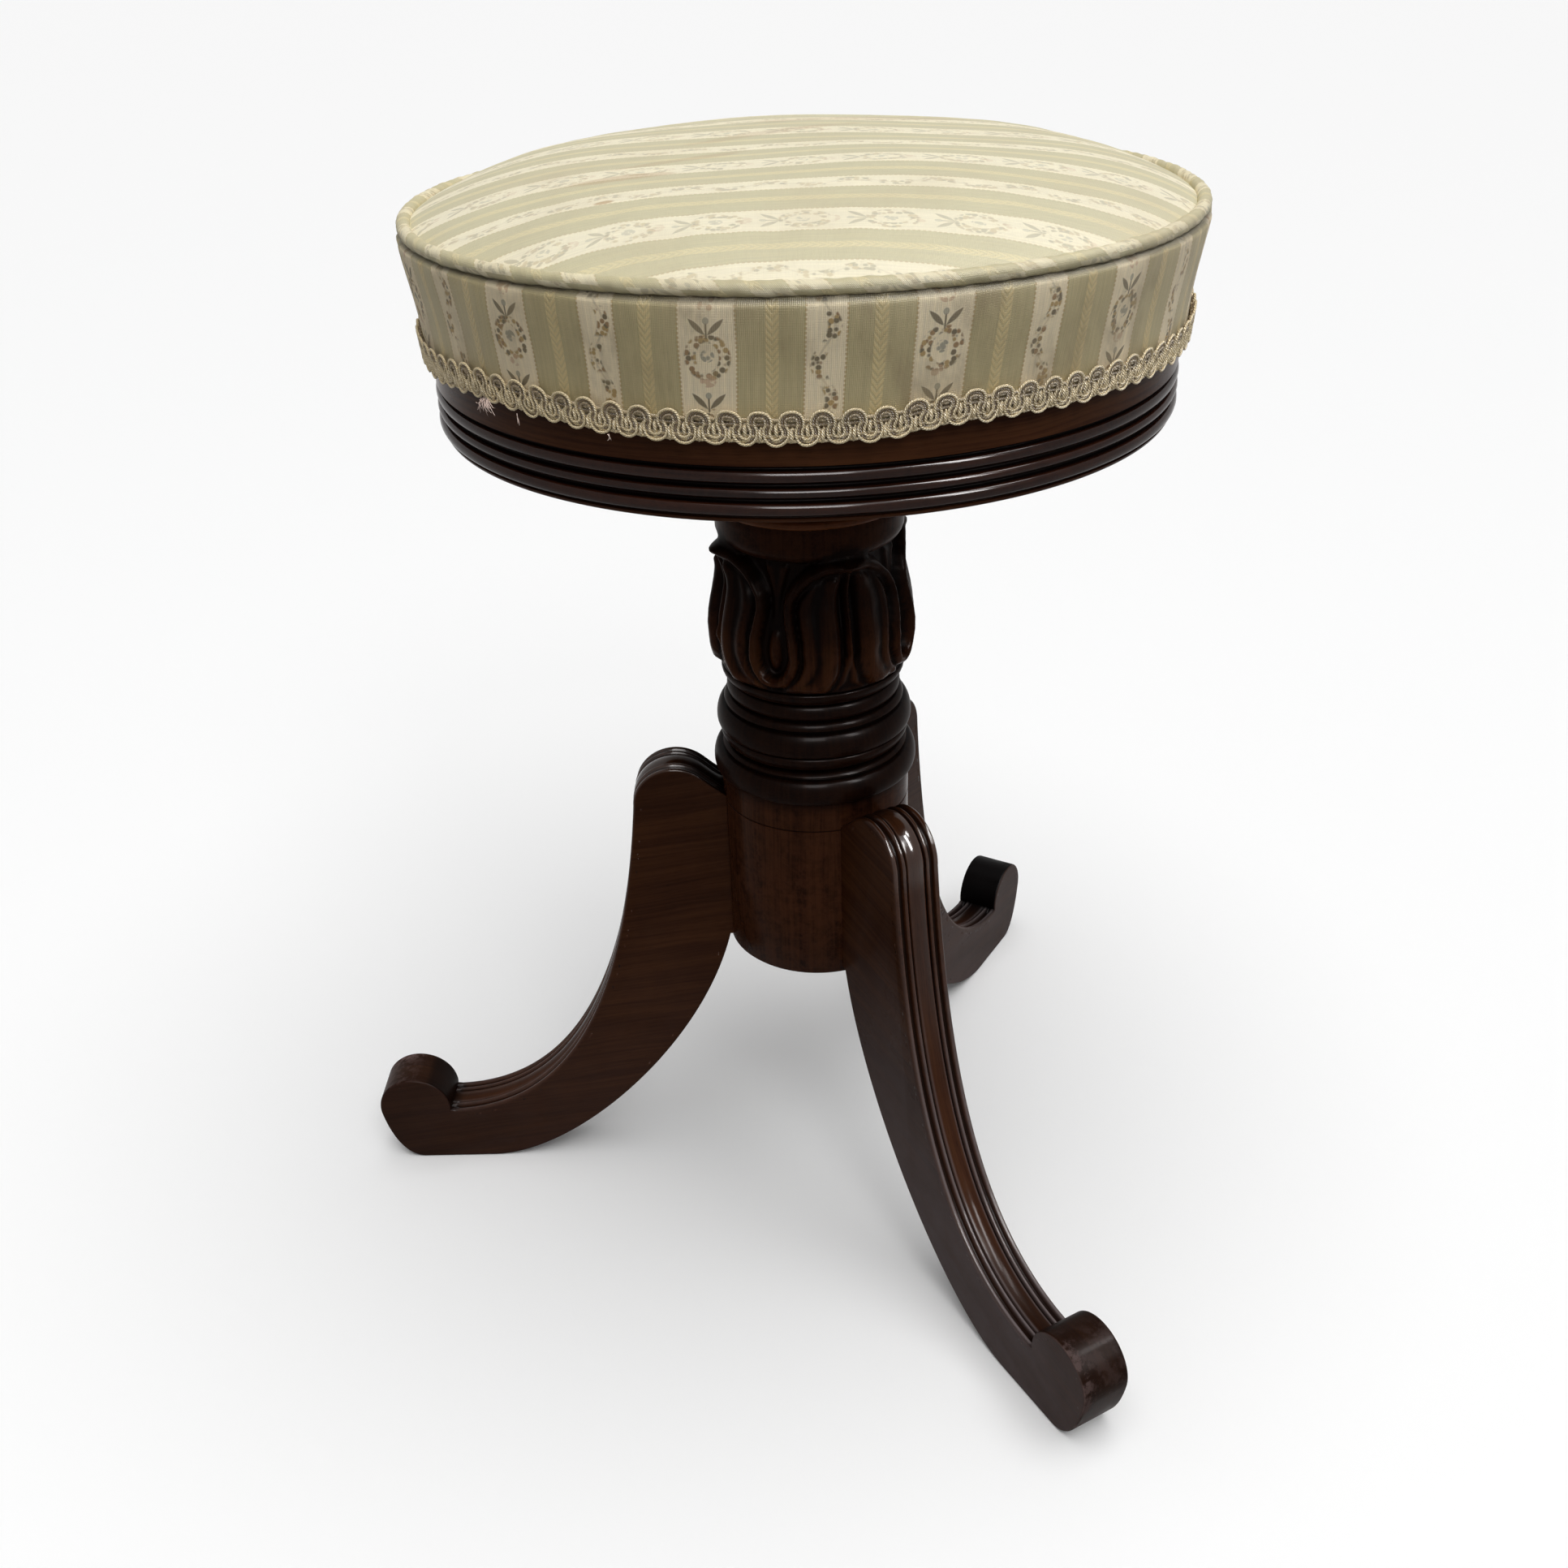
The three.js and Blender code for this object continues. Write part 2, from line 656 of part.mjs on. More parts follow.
function stopScrewGeometry() {
  const topZ = Math.min(pivotEndZ, washerTopZ - washerThickness) - seatGap;
  const bottomZ = topZ - stopHeadThickness;
  const body = turned(
    [
      point(0, bottomZ),
      point(stopHeadRadius, bottomZ),
      point(stopHeadRadius, topZ),
      point(stopShankRadius, topZ),
      point(stopShankRadius, pivotEndZ + stopShankLength),
      point(0, pivotEndZ + stopShankLength),
    ],
    screwSteps,
  );
  const slotLength = 2 * (stopHeadRadius + cutOverrun);
  const slot = new THREE.BoxGeometry(slotLength, slotWidth, stopHeadThickness);
  return cut(body, [slot.translate(0, 0, bottomZ)]);
}

const plateScrewAngles = ringOf(plateScrewCount, angleOf(1, 2 * plateScrewCount), (angle) => angle);
const boardScrewAngles = ringOf(boardScrewCount, angleOf(1, 2 * boardScrewCount), (angle) => angle);
const boardScrewRadius = (rimInnerRadius + boardRadius) / 2;

function screwPlateGeometry() {
  const inner = spigotRadius + seatGap;
  const disc = turnedRing(
    [
      point(inner, plateBottomZ),
      point(screwPlateRadius, plateBottomZ),
      point(screwPlateRadius, plateTopZ),
      point(inner, plateTopZ),
    ],
    smallSteps,
  );
  const holes = plateScrewAngles.map((angle) => {
    return placed(screwHole(shortScrewLength), plateScrewRadius, angle, plateBottomZ, true);
  });
  return cut(disc, holes);
}

// The boss: a bead at its foot, a hollow that flares up to the seat, and a recess for the plate.
const bossHollowShare = 0.75; // how far up the hollow stays upright
function bossGeometry() {
  const beadTopZ = bossFootZ + bossBeadHeight;
  const flareTopZ = bossTopZ - bossRimHeight;
  const flare = new THREE.QuadraticBezierCurve(
    point(bossFootRadius, beadTopZ),
    point(bossFootRadius + bossBeadSwell, mix(beadTopZ, flareTopZ, bossHollowShare)),
    point(bossTopRadius, flareTopZ),
  );
  const recessRadius = screwPlateRadius + seatGap;
  const recessZ = plateBottomZ - seatGap;
  return turnedRing([
    point(bossBoreRadius, bossFootZ),
    ...bead(bossFootRadius, bossFootZ, bossBeadHeight, bossBeadSwell, 4),
    ...flare.getPoints(6).slice(1),
    point(bossTopRadius, bossTopZ),
    point(recessRadius, bossTopZ),
    point(recessRadius, recessZ),
    point(bossBoreRadius, recessZ),
  ]);
}

// The rim: a rounded lower edge, three reeds, a plain band, and a rebate inside for the board.
function rimGeometry() {
  const reedsZ = rimBottomZ + rimReedsUp;
  const roundX = rimRadius - rimRoundRadius;
  const roundZ = rimBottomZ + rimRoundRadius;
  const round = new THREE.EllipseCurve(roundX, roundZ, rimRoundRadius, rimRoundRadius, -Math.PI / 2, 0);
  const grooveRadius = rimRadius - rimReedDepth;
  const reeds = Array.from({ length: rimReedCount }, (_, i) => {
    const reed = bead(grooveRadius, reedsZ + i * rimReedPitch, rimReedPitch, rimReedDepth + rimReedSwell, 4);
    return i ? reed.slice(1) : reed;
  }).flat();
  const reedsTopZ = reedsZ + rimReedCount * rimReedPitch;
  const ring = turnedRing([
    point(rimInnerRadius, rimBottomZ),
    ...round.getPoints(3),
    point(rimRadius, reedsZ - rimReedDepth / 2),
    ...reeds,
    point(rimRadius, reedsTopZ + rimReedDepth / 2),
    point(rimRadius, rimTopZ),
    point(boardRadius, rimTopZ),
    point(boardRadius, ledgeZ),
    point(rimInnerRadius, ledgeZ),
  ]);
  const holes = boardScrewAngles.map((angle) => {
    return placed(screwHole(longScrewLength), boardScrewRadius, angle, rimBottomZ, true);
  });
  return cut(ring, holes);
}

function boardGeometry() {
  const disc = rod(boardRadius - seatGap, boardBottomZ, rimTopZ, roundSteps);
  const plateHoles = plateScrewAngles.map((angle) => {
    return placed(screwHole(shortScrewLength), plateScrewRadius, angle, plateBottomZ, true);
  });
  const rimHoles = boardScrewAngles.map((angle) => {
    return placed(screwHole(longScrewLength), boardScrewRadius, angle, rimBottomZ, true);
  });
  return cut(disc, [...plateHoles, ...rimHoles]);
}

// Height of the crown's outer face by distance from the axis.
const crownEdgePower = 0.85; // how round it is where it falls to the piping
const crownEdgeRadius = pipingRadius - pipingCordRadius - seatGap;
function crownZ(radius, drop) {
  const share = Math.min(1, radius / crownEdgeRadius);
  return pipingZ + crownHeight * (1 - share ** crownPower) ** crownEdgePower - drop;
}

// Outer radius of the side border by height: drawn in at the rim, full below the piping.
const borderFootRadius = rimRadius + seatGap + clothThickness;
const borderTopZ = pipingZ - pipingCordRadius - seatGap;
const borderBottomZ = rimTopZ - borderLap;
const borderTopRadius = pipingRadius + pipingCordRadius / 2;
const borderRisePower = 0.8; // below 1, the border leans out most at its foot
function borderRadius(z) {
  const share = Math.max(0, (z - rimTopZ) / (borderTopZ - rimTopZ));
  const bulge = Math.exp(-(((z - rimTopZ - borderBulgeUp) / (borderBulgeUp / 2)) ** 2));
  return mix(borderFootRadius, borderTopRadius, share ** borderRisePower) + borderBulge * bulge * share;
}

const borderRowShares = [0, 0.15, 0.32, 0.5, 0.68, 0.85, 1];
const crownRowShares = [0, 0.3, 0.55, 0.75, 0.88, 0.96, 1];

function stuffingGeometry() {
  const inset = clothThickness + seatGap;
  const shoulder = crownEdgeRadius - pipingCordRadius;
  const side = borderRowShares.map((share) => {
    const z = mix(rimTopZ + seatGap, borderTopZ, share);
    return point(Math.min(borderRadius(z) - inset - seatGap, shoulder), z);
  });
  const crown = crownRowShares.slice(0, -1).reverse().map((share) => {
    const radius = shoulder * share;
    return point(radius, crownZ(radius, inset + seatGap));
  });
  return turned([point(0, rimTopZ + seatGap), ...side, ...crown]);
}

function topCoverGeometry() {
  const under = crownRowShares.map((share) => {
    return point(crownEdgeRadius * share, crownZ(crownEdgeRadius * share, clothThickness));
  });
  const over = crownRowShares.slice().reverse().map((share) => {
    return point(crownEdgeRadius * share, crownZ(crownEdgeRadius * share, 0));
  });
  return turned([...under, ...over]);
}

function borderGeometry() {
  const heights = [borderBottomZ, ...borderRowShares.map((share) => mix(rimTopZ, borderTopZ, share))];
  const outer = heights.map((z) => point(borderRadius(z), z));
  const inner = heights.slice().reverse().map((z) => point(borderRadius(z) - clothThickness, z));
  return turnedRing([...inner.slice(-1), ...outer, ...inner.slice(0, -1)]);
}

function pipingGeometry() {
  const sides = 6;
  const loop = Array.from({ length: sides }, (_, i) => {
    const angle = angleOf(i, sides) - Math.PI / 2;
    const offset = point(Math.cos(angle), Math.sin(angle)).multiplyScalar(pipingCordRadius);
    return point(pipingRadius, pipingZ).add(offset);
  });
  return turnedRing(loop);
}

function gimpGeometry() {
  const topZ = borderBottomZ + gimpHeight;
  const inner = (z) => borderRadius(z) + seatGap;
  return turnedRing([
    point(inner(borderBottomZ), borderBottomZ),
    point(inner(borderBottomZ) + gimpThickness / 2, borderBottomZ),
    point(inner(rimTopZ) + gimpThickness, rimTopZ),
    point(inner(topZ) + gimpThickness / 2, topZ),
    point(inner(topZ), topZ),
    point(inner(rimTopZ), rimTopZ),
  ]);
}

function piece(name, geometry, material) {
  const mesh = new THREE.Mesh(geometry, material);
  mesh.name = name;
  return mesh;
}

// Wood screws of one ring, each its own mesh
function screwRing(name, length, radius, angles, z, pointsUp) {
  const body = screwBody(length);
  return angles.map((angle, i) => {
    return piece(name + "_" + (i + 1), placed(body, radius, angle, z, pointsUp), steel);
  });
}

const legNames = ["leg_left", "leg_front", "leg_back"];

const stand = new THREE.Group();
stand.add(piece("column", columnGeometry(), mahogany));
stand.add(piece("screw_nut", nutGeometry(), brass));
stand.add(...screwRing("nut_screw", shortScrewLength, nutScrewRadius, nutScrewAngles, columnTopZ, false));
const oneLeg = legGeometry();
legAngles.forEach((angle, i) => {
  const leg = piece(legNames[i], oneLeg, mahogany);
  leg.rotation.z = angle;
  stand.add(leg);
});
stand.add(piece("base_plate", basePlateGeometry(), iron));
stand.add(
  ...screwRing(
    "base_plate_screw", longScrewLength, basePlateScrewRadius, legAngles,
    drumBottomZ - basePlateThickness, true,
  ),
);

const lift = new THREE.Group();
lift.add(piece("stop_washer", stopWasherGeometry(), iron));

const seat = new THREE.Group();
seat.add(piece("seat_screw", seatScrewGeometry(), steel));
seat.add(piece("stop_screw", stopScrewGeometry(), steel));
seat.add(piece("screw_plate", screwPlateGeometry(), iron));
seat.add(
  ...screwRing("plate_screw", shortScrewLength, plateScrewRadius, plateScrewAngles, plateBottomZ, true),
);
seat.add(piece("seat_boss", bossGeometry(), mahogany));
seat.add(piece("seat_rim", rimGeometry(), mahogany));
seat.add(piece("seat_board", boardGeometry(), beech));
seat.add(...screwRing("board_screw", longScrewLength, boardScrewRadius, boardScrewAngles, rimBottomZ, true));
seat.add(piece("seat_stuffing", stuffingGeometry(), horsehair));
seat.add(piece("top_cover", topCoverGeometry(), brocade));
seat.add(piece("side_border", borderGeometry(), brocade));
seat.add(piece("piping", pipingGeometry(), cord));
seat.add(piece("gimp_braid", gimpGeometry(), braid));

// The toe of the left leg reaches furthest in -X, and the fullest part of the border in +X.
const fullestZ = rimTopZ + borderBulgeUp;
const seatReach = borderRadius(fullestZ);
const stool = new THREE.Group();
stool.add(stand, lift, seat);
stool.position.x = (legReach - seatReach) / 2;

console.log(`the seat rises ${seatRise} mm in ${seatRise / screwPitch} turns`);
console.log(`the column's axis is at x = ${stool.position.x.toFixed(3)}`);

const part = new THREE.Group();
part.add(stool);
export default part;
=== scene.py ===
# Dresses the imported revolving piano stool: polished wood, carving, reeds, screw thread and upholstery.
# Shapes are worked out in millimetres about the column's axis and stored in metres.
import math
from functools import partialmethod

import bmesh
import bpy
import numpy as np
from mathutils import Matrix, Vector


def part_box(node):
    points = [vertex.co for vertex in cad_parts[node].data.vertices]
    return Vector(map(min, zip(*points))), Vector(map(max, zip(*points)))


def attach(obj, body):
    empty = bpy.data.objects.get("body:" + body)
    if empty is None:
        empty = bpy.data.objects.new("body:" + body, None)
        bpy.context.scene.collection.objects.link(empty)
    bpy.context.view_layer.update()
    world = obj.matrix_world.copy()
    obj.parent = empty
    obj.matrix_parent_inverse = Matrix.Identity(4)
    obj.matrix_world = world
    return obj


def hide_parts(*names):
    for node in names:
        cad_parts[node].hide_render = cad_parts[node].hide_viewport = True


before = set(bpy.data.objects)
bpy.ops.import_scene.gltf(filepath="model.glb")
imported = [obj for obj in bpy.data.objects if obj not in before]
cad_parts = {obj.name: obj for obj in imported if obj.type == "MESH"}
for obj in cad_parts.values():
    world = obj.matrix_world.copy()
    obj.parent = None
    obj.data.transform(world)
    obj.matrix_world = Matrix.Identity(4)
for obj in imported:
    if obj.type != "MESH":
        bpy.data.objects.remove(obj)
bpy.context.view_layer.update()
rimLow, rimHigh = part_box("seat_rim")
axisX = (rimLow.x + rimHigh.x) / 2  # the column's axis, in metres
mm = 0.001


def smoothStep(value, low, high):
    # 0 below low, 1 above high, and 3t^2 - 2t^3 between
    t = np.clip((value - low) / (high - low), 0, 1)
    return t * t * (3 - 2 * t)


def plateau(value, start, low, high, end):
    # 0 up to start, 1 from low to high, 0 again from end on
    return smoothStep(value, start, low) * smoothStep(value, end, high)


def mix(a, b, share):
    # a plus the share of the way to b
    return a + (b - a) * share


def around(steps, more=0):
    # angles in even steps round a full turn, with more of them past its end
    return np.arange(steps + more) / steps * 2 * math.pi


def bell(value, centre, width):
    # 1 at the centre, falling as e to the minus square of the distance in widths
    return np.exp(-(((value - centre) / width) ** 2))


def unit(vectors):
    # each row over its length
    return vectors / np.linalg.norm(vectors, axis=1, keepdims=True)


def runLength(steps):
    # the sum of the steps so far, from 0
    return np.concatenate([[0], np.cumsum(steps)])


def turnedBy(x, y, angle):
    # x cos - y sin, and x sin + y cos, of the angle
    c, s = math.cos(angle), math.sin(angle)
    return x * c - y * s, x * s + y * c


def ripple(u, v, seed):
    # a calm random field: a quarter of the sum of seven sine waves with seeded directions and phases
    draw = np.random.default_rng(seed)
    total = 0
    for _ in range(7):
        direction, phase, pace = draw.uniform(0, 6.28), draw.uniform(0, 6.28), draw.uniform(0.6, 1.8)
        total = total + np.sin(pace * (u * math.cos(direction) + v * math.sin(direction)) + phase)
    return total / 4


def blurred(field, passes, wrap):
    # the field averaged with its neighbours, passes times, along both directions
    for axis in (0, 1) * passes:
        margin = [(1, 1) if k == axis else (0, 0) for k in (0, 1)]
        wide = np.moveaxis(np.pad(field, margin, "wrap" if wrap[axis] else "edge"), axis, 0)
        field = np.moveaxis((wide[:-2] + 2 * wide[1:-1] + wide[2:]) / 4, 0, axis)
    return field


def pieceFrom(name, points, faces, corners=None, values=None, sharp=40):
    # an object from points in millimetres about the axis, quads or triangles, cloth or grain
    # coordinates for each face corner, and named values for each point
    mesh = bpy.data.meshes.new(name)
    mesh.from_pydata(points.reshape(-1, 3) * mm + [axisX, 0, 0], [], faces)
    if corners is not None:
        layer = mesh.uv_layers.new(name="grain")
        layer.data.foreach_set("uv", (corners * mm).astype(np.float32).ravel())
    for key, value in (values or {}).items():
        attribute = mesh.attributes.new(key, "FLOAT", "POINT")
        attribute.data.foreach_set("value", value.astype(np.float32).ravel())
    work = bmesh.new()
    work.from_mesh(mesh)
    bmesh.ops.remove_doubles(work, verts=work.verts, dist=1e-6)
    bmesh.ops.recalc_face_normals(work, faces=work.faces)
    work.to_mesh(mesh)
    work.free()
    mesh.polygons.foreach_set("use_smooth", np.ones(len(mesh.polygons), bool))
    mesh.set_sharp_from_angle(angle=math.radians(sharp))
    piece = bpy.data.objects.new(name, mesh)
    bpy.context.scene.collection.objects.link(piece)
    return piece


def gridPiece(name, points, wrap=(False, False), grain=None, values=None, sharp=40):
    # a piece over a grid of points, rows by columns, closed round either way where wrap says so;
    # grain has one more row or column than points where that way is closed
    rows, columns = points.shape[:2]
    r, c = np.meshgrid(np.arange(rows - (not wrap[0])), np.arange(columns - (not wrap[1])), indexing="ij")
    corner = [(r, c), (r, c + 1), (r + 1, c + 1), (r + 1, c)]
    faces = np.stack([(i % rows) * columns + j % columns for i, j in corner], -1).reshape(-1, 4)
    corners = None
    if grain is not None:
        corners = np.stack([grain[i, j] for i, j in corner], 2).reshape(-1, 2)
    return pieceFrom(name, points, faces, corners, values, sharp)


def joinPieces(name, pieces):
    # several pieces as one object
    with bpy.context.temp_override(
        active_object=pieces[0], object=pieces[0], selected_editable_objects=pieces, selected_objects=pieces
    ):
        bpy.ops.object.join()
    pieces[0].name = name
    return pieces[0]


def roundAxis(radius, angle, z):
    # points at a radius and an angle about the axis
    return np.stack([radius * np.cos(angle), radius * np.sin(angle), z + 0 * angle * radius], -1)


def turnedPiece(name, profile, steps, relief=None, closed=False, grainTurns=True, wearScale=0.5,
                polish=0.02, paintedShade=((0, 0),), worn=1):
    # a profile of (radius, height) rows turned round the axis, pushed out by relief(angle, height);
    # crests are worn by how far they stand out from the blurred surface, and hollows are darkened by how far
    # they sink, as dirt in the small ones and as painted shade in the broad ones; the shade table holds
    # heights and how much painted shade darkens the wood there
    radius, height = np.array(profile).T
    angle = around(steps)
    r = radius[:, None] + 0 * angle
    if relief is not None:
        r = r + relief(angle, height)
    z = height[:, None] + 0 * r
    step = np.hypot(np.diff(radius, append=radius[:1]), np.diff(height, append=height[:1]))
    run = runLength(step)[: len(radius) + closed]
    turn = np.linspace(0, 2 * math.pi * max(radius.max(), 1), steps + 1)
    along, across = np.meshgrid(turn, run)
    grain = np.stack([along, across] if grainTurns else [across, along], -1)
    out = r - blurred(r, 12, (closed, True))
    # broad hollows, which are darkened as painted shade
    deep = r - blurred(r, 50, (closed, True))
    darkening = np.clip(-out / wearScale, 0, 1) + np.clip(-deep / 2.2, 0, 1)
    # painted shade by height: the rings, the upper leaves and the neck darker under the seat
    levels, shades = np.array(paintedShade, float).T
    darkening = darkening + np.interp(z, levels, shades)
    values = {"wear": worn * np.clip(out / wearScale, 0, 1), "darkening": np.clip(darkening, 0, 1), "scuff": 0 * out}
    values["polish"] = np.reshape(polish, (-1, 1)) * np.clip(1 + out / wearScale, 0, 1)
    return gridPiece(name, roundAxis(r, angle[None, :], z), (closed, True), grain, values, 50)


def arcPoints(start, end, swell, count):
    # from start to end in a curve that stands out by swell, as half an ellipse
    t = (1 - np.cos(np.linspace(0, math.pi, count))) / 2
    bulge = swell * np.sqrt(np.clip(1 - (2 * t - 1) ** 2, 0, 1))
    return np.stack([mix(start[0], end[0], t) + bulge, mix(start[1], end[1], t)], -1)


def resampled(points, step):
    # the polyline with an even step, its corners kept where they fall
    points = np.asarray(points, float)
    run = runLength(np.hypot(*np.diff(points, axis=0).T))
    even = np.linspace(0, run[-1], max(2, int(run[-1] / step) + 1))
    even = np.unique(np.concatenate([even, run]))
    even = even[np.concatenate([[True], np.diff(even) > step * 0.15])]
    return np.stack([np.interp(even, run, points[:, k]) for k in (0, 1)], -1)


class Field:
    # a number that varies over a surface: arithmetic on fields becomes Math nodes
    def __init__(self, tree, socket):
        self.tree, self.socket = tree, socket

    def op(self, operation, *others):
        node = self.tree.nodes.new("ShaderNodeMath")
        node.operation = operation
        for socket, term in zip(node.inputs, (self, *others)):
            feed(self.tree, socket, term)
        return Field(self.tree, node.outputs[0])

    __add__ = partialmethod(op, "ADD")
    __sub__ = partialmethod(op, "SUBTRACT")
    __mul__ = partialmethod(op, "MULTIPLY")
    __truediv__ = partialmethod(op, "DIVIDE")
    __pow__ = partialmethod(op, "POWER")

    def size(self):
        return self.op("ABSOLUTE")

    def wave(self, period, phase=0):
        # sine with a period
        return (self * (2 * math.pi / period) + phase).op("SINE")

    def folded(self, period, offset=0):
        # distance along a repeat, from minus half a period to plus half
        return ((self / period + offset + 0.5).op("FRACT") - 0.5) * period

    def rise(self, low, high):
        # 0 below low, 1 above high, smooth between
        node = self.tree.nodes.new("ShaderNodeMapRange")
        node.interpolation_type = "SMOOTHSTEP"
        for socket, term in zip(node.inputs, (self, low, high, 0, 1)):
            feed(self.tree, socket, term)
        return Field(self.tree, node.outputs[0])

    def spread(self, low, high):
        # 0 to 1 mapped to low to high
        return self * (high - low) + low


def feed(tree, socket, term):
    # links a field or a socket, or sets a fixed value; text is a web colour
    if isinstance(term, Field):
        term = term.socket
    if isinstance(term, bpy.types.NodeSocket):
        tree.links.new(term, socket)
    else:
        socket.default_value = hexColor(term) if isinstance(term, str) else term


def most(*fields):
    # the largest of several fields
    total = fields[0]
    for field in fields[1:]:
        total = total.op("MAXIMUM", field)
    return total


def hexColor(code):
    # a web colour as linear light
    parts = [int(code[k : k + 2], 16) / 255 for k in (0, 2, 4)]
    return (*[p / 12.92 if p <= 0.04045 else ((p + 0.055) / 1.055) ** 2.4 for p in parts], 1)


def blendColor(tree, share, low, high, mode="MIX"):
    # low plus the share of the way to high, or another blend of them
    node = tree.nodes.new("ShaderNodeMix")
    node.data_type = "RGBA"
    node.blend_type = mode
    for index, term in ((0, share), (6, low), (7, high)):
        feed(tree, node.inputs[index], term)
    return node.outputs[2]


def layered(tree, color, *layers):
    # each layer is a share and the colour that it lays over the ones before
    for share, over in layers:
        color = blendColor(tree, share, color, over)
    return color


def scaled(tree, vector, scale):
    # each coordinate times its own scale
    node = tree.nodes.new("ShaderNodeMapping")
    feed(tree, node.inputs["Vector"], vector)
    feed(tree, node.inputs["Scale"], scale)
    return node.outputs[0]


def noiseField(tree, vector, scale, detail=3, roughness=0.5):
    # noise of one scale, or of one for each direction where scale has three
    if isinstance(scale, tuple):
        vector, scale = scaled(tree, vector, scale), 1
    node = tree.nodes.new("ShaderNodeTexNoise")
    for key, term in (("Vector", vector), ("Scale", scale), ("Detail", detail), ("Roughness", roughness)):
        feed(tree, node.inputs[key], term)
    return Field(tree, node.outputs["Fac"])


def splitVector(tree, vector):
    # a vector's three coordinates as fields
    node = tree.nodes.new("ShaderNodeSeparateXYZ")
    feed(tree, node.inputs[0], vector)
    return [Field(tree, socket) for socket in node.outputs]


def joinVector(tree, *terms):
    # a vector from its coordinates
    node = tree.nodes.new("ShaderNodeCombineXYZ")
    for socket, term in zip(node.inputs, terms):
        feed(tree, socket, term)
    return node.outputs[0]


def newGroup(name, inputs, outputs):
    # a node group's tree, its inputs as fields and the sockets that its outputs go to
    tree = bpy.data.node_groups.new(name, "ShaderNodeTree")
    for direction, sockets in (("INPUT", inputs), ("OUTPUT", outputs)):
        for key, kind in sockets.items():
            tree.interface.new_socket(key, in_out=direction, socket_type="NodeSocket" + kind)
    source = tree.nodes.new("NodeGroupInput").outputs
    return tree, {key: Field(tree, source[key]) for key in inputs}, tree.nodes.new("NodeGroupOutput").inputs


def placeGroup(tree, group, **inputs):
    # a node group with its inputs fed by name, and its outputs
    node = tree.nodes.new("ShaderNodeGroup")
    node.node_tree = group
    for key, value in inputs.items():
        feed(tree, node.inputs[key], value)
    return node.outputs


def newMaterial(name, **shader):
    # a material with one Principled shader whose fixed values are given
    material = bpy.data.materials.new(name)
    material.use_nodes = True
    tree = material.node_tree
    principled = tree.nodes["Principled BSDF"]
    for key, value in shader.items():
        principled.inputs[key.replace("_", " ")].default_value = value
    return material, tree, principled.inputs


def pieceCoordinates(tree, layer=None):
    # a layer's coordinates on the surface, or the place in metres in the part's frame
    if layer:
        node = tree.nodes.new("ShaderNodeUVMap")
        node.uv_map = layer
        return node.outputs[0]
    return tree.nodes.new("ShaderNodeTexCoord").outputs["Object"]


def pointValue(tree, name):
    # a value that the mesh carries for each point
    node = tree.nodes.new("ShaderNodeAttribute")
    node.attribute_name = name
    return Field(tree, node.outputs["Fac"])


def addBump(tree, normal, height, strength, distance):
    # turns the shader's normal by the slope of the height
    node = tree.nodes.new("ShaderNodeBump")
    for key, term in (("Strength", strength), ("Distance", distance), ("Height", height)):
        feed(tree, node.inputs[key], term)
    feed(tree, normal, node.outputs[0])


woodLook = {
    "red": ("1a0a06", "2f160d"),  # the dark and the light of the figure
    "brown": ("32190e", "50301b"),
    "pore": "0c0605",
    "worn": "54301e",
    "rubbed": "977b76",
    # near black, for dirt and for painted shade
    "darkening": "040202",
    # grey, for dust and for painted sheen
    "dustAndSheen": "6c6262",
}


def makeWoodGroup(look):
    # long fibres, slow figure across them, dark pores, polish worn off the crests, and darkening that is
    # dirt in the hollows and painted shade where the part carries it
    inputs = {"Grain": "Vector", "Place": "Vector"}
    inputs.update(dict.fromkeys(("Wear", "Darkening", "Brown", "Scuff", "Figure"), "Float"))
    outputs = {"Color": "Color", "Roughness": "Float", "Height": "Float"}
    tree, given, result = newGroup("polishedFigure", inputs, outputs)
    grain, place = given["Grain"], given["Place"]
    along, across, _ = splitVector(tree, grain)
    wander = noiseField(tree, grain, (9, 30, 1), 2)
    shifted = joinVector(tree, along, across + wander.spread(-0.004, 0.004), 0)
    fibres = noiseField(tree, shifted, (16, 620, 1), 4, 0.6)
    figure = noiseField(tree, shifted, (5, 110, 1), 3, 0.55)
    pores = noiseField(tree, grain, (130, 2600, 1), 1)
    clouds = noiseField(tree, place, 16, 3, 0.6)
    scuffs = noiseField(tree, place, 170, 4, 0.7)
    smears = noiseField(tree, place, 45, 3, 0.6)
    tone = ((figure * 0.55 + fibres * 0.45).rise(0.36, 0.66) - 0.5) * given["Figure"] + 0.5
    red, warm = (blendColor(tree, tone, *look[key]) for key in ("red", "brown"))
    brown = (clouds.spread(0.1, 1.3) * given["Brown"] * 1.2).op("MINIMUM", 1)
    flecks = pores.rise(0.6, 0.72) * 0.3
    worn = (given["Wear"] * scuffs.rise(0.35, 0.6)).op("MINIMUM", 1) * 0.5
    rubbed = (given["Scuff"] * scuffs.rise(0.42, 0.6)).op("MINIMUM", 1) * 0.85
    # dirt and painted shade darken the wood, by the value that each point carries
    darkened = given["Darkening"] * 0.9
    layers = (flecks, look["pore"]), (worn, look["worn"]), (rubbed, look["rubbed"]), (darkened, look["darkening"])
    feed(tree, result["Color"], layered(tree, red, (brown, warm), *layers))
    feed(tree, result["Roughness"], smears.spread(0.12, 0.3) + darkened * 0.2 + flecks * 0.1 + rubbed * 0.3)
    feed(tree, result["Height"], fibres * 0.25 - flecks * 0.6 + scuffs * 0.7 - rubbed * 0.5)
    return tree


woodGroup = makeWoodGroup(woodLook)


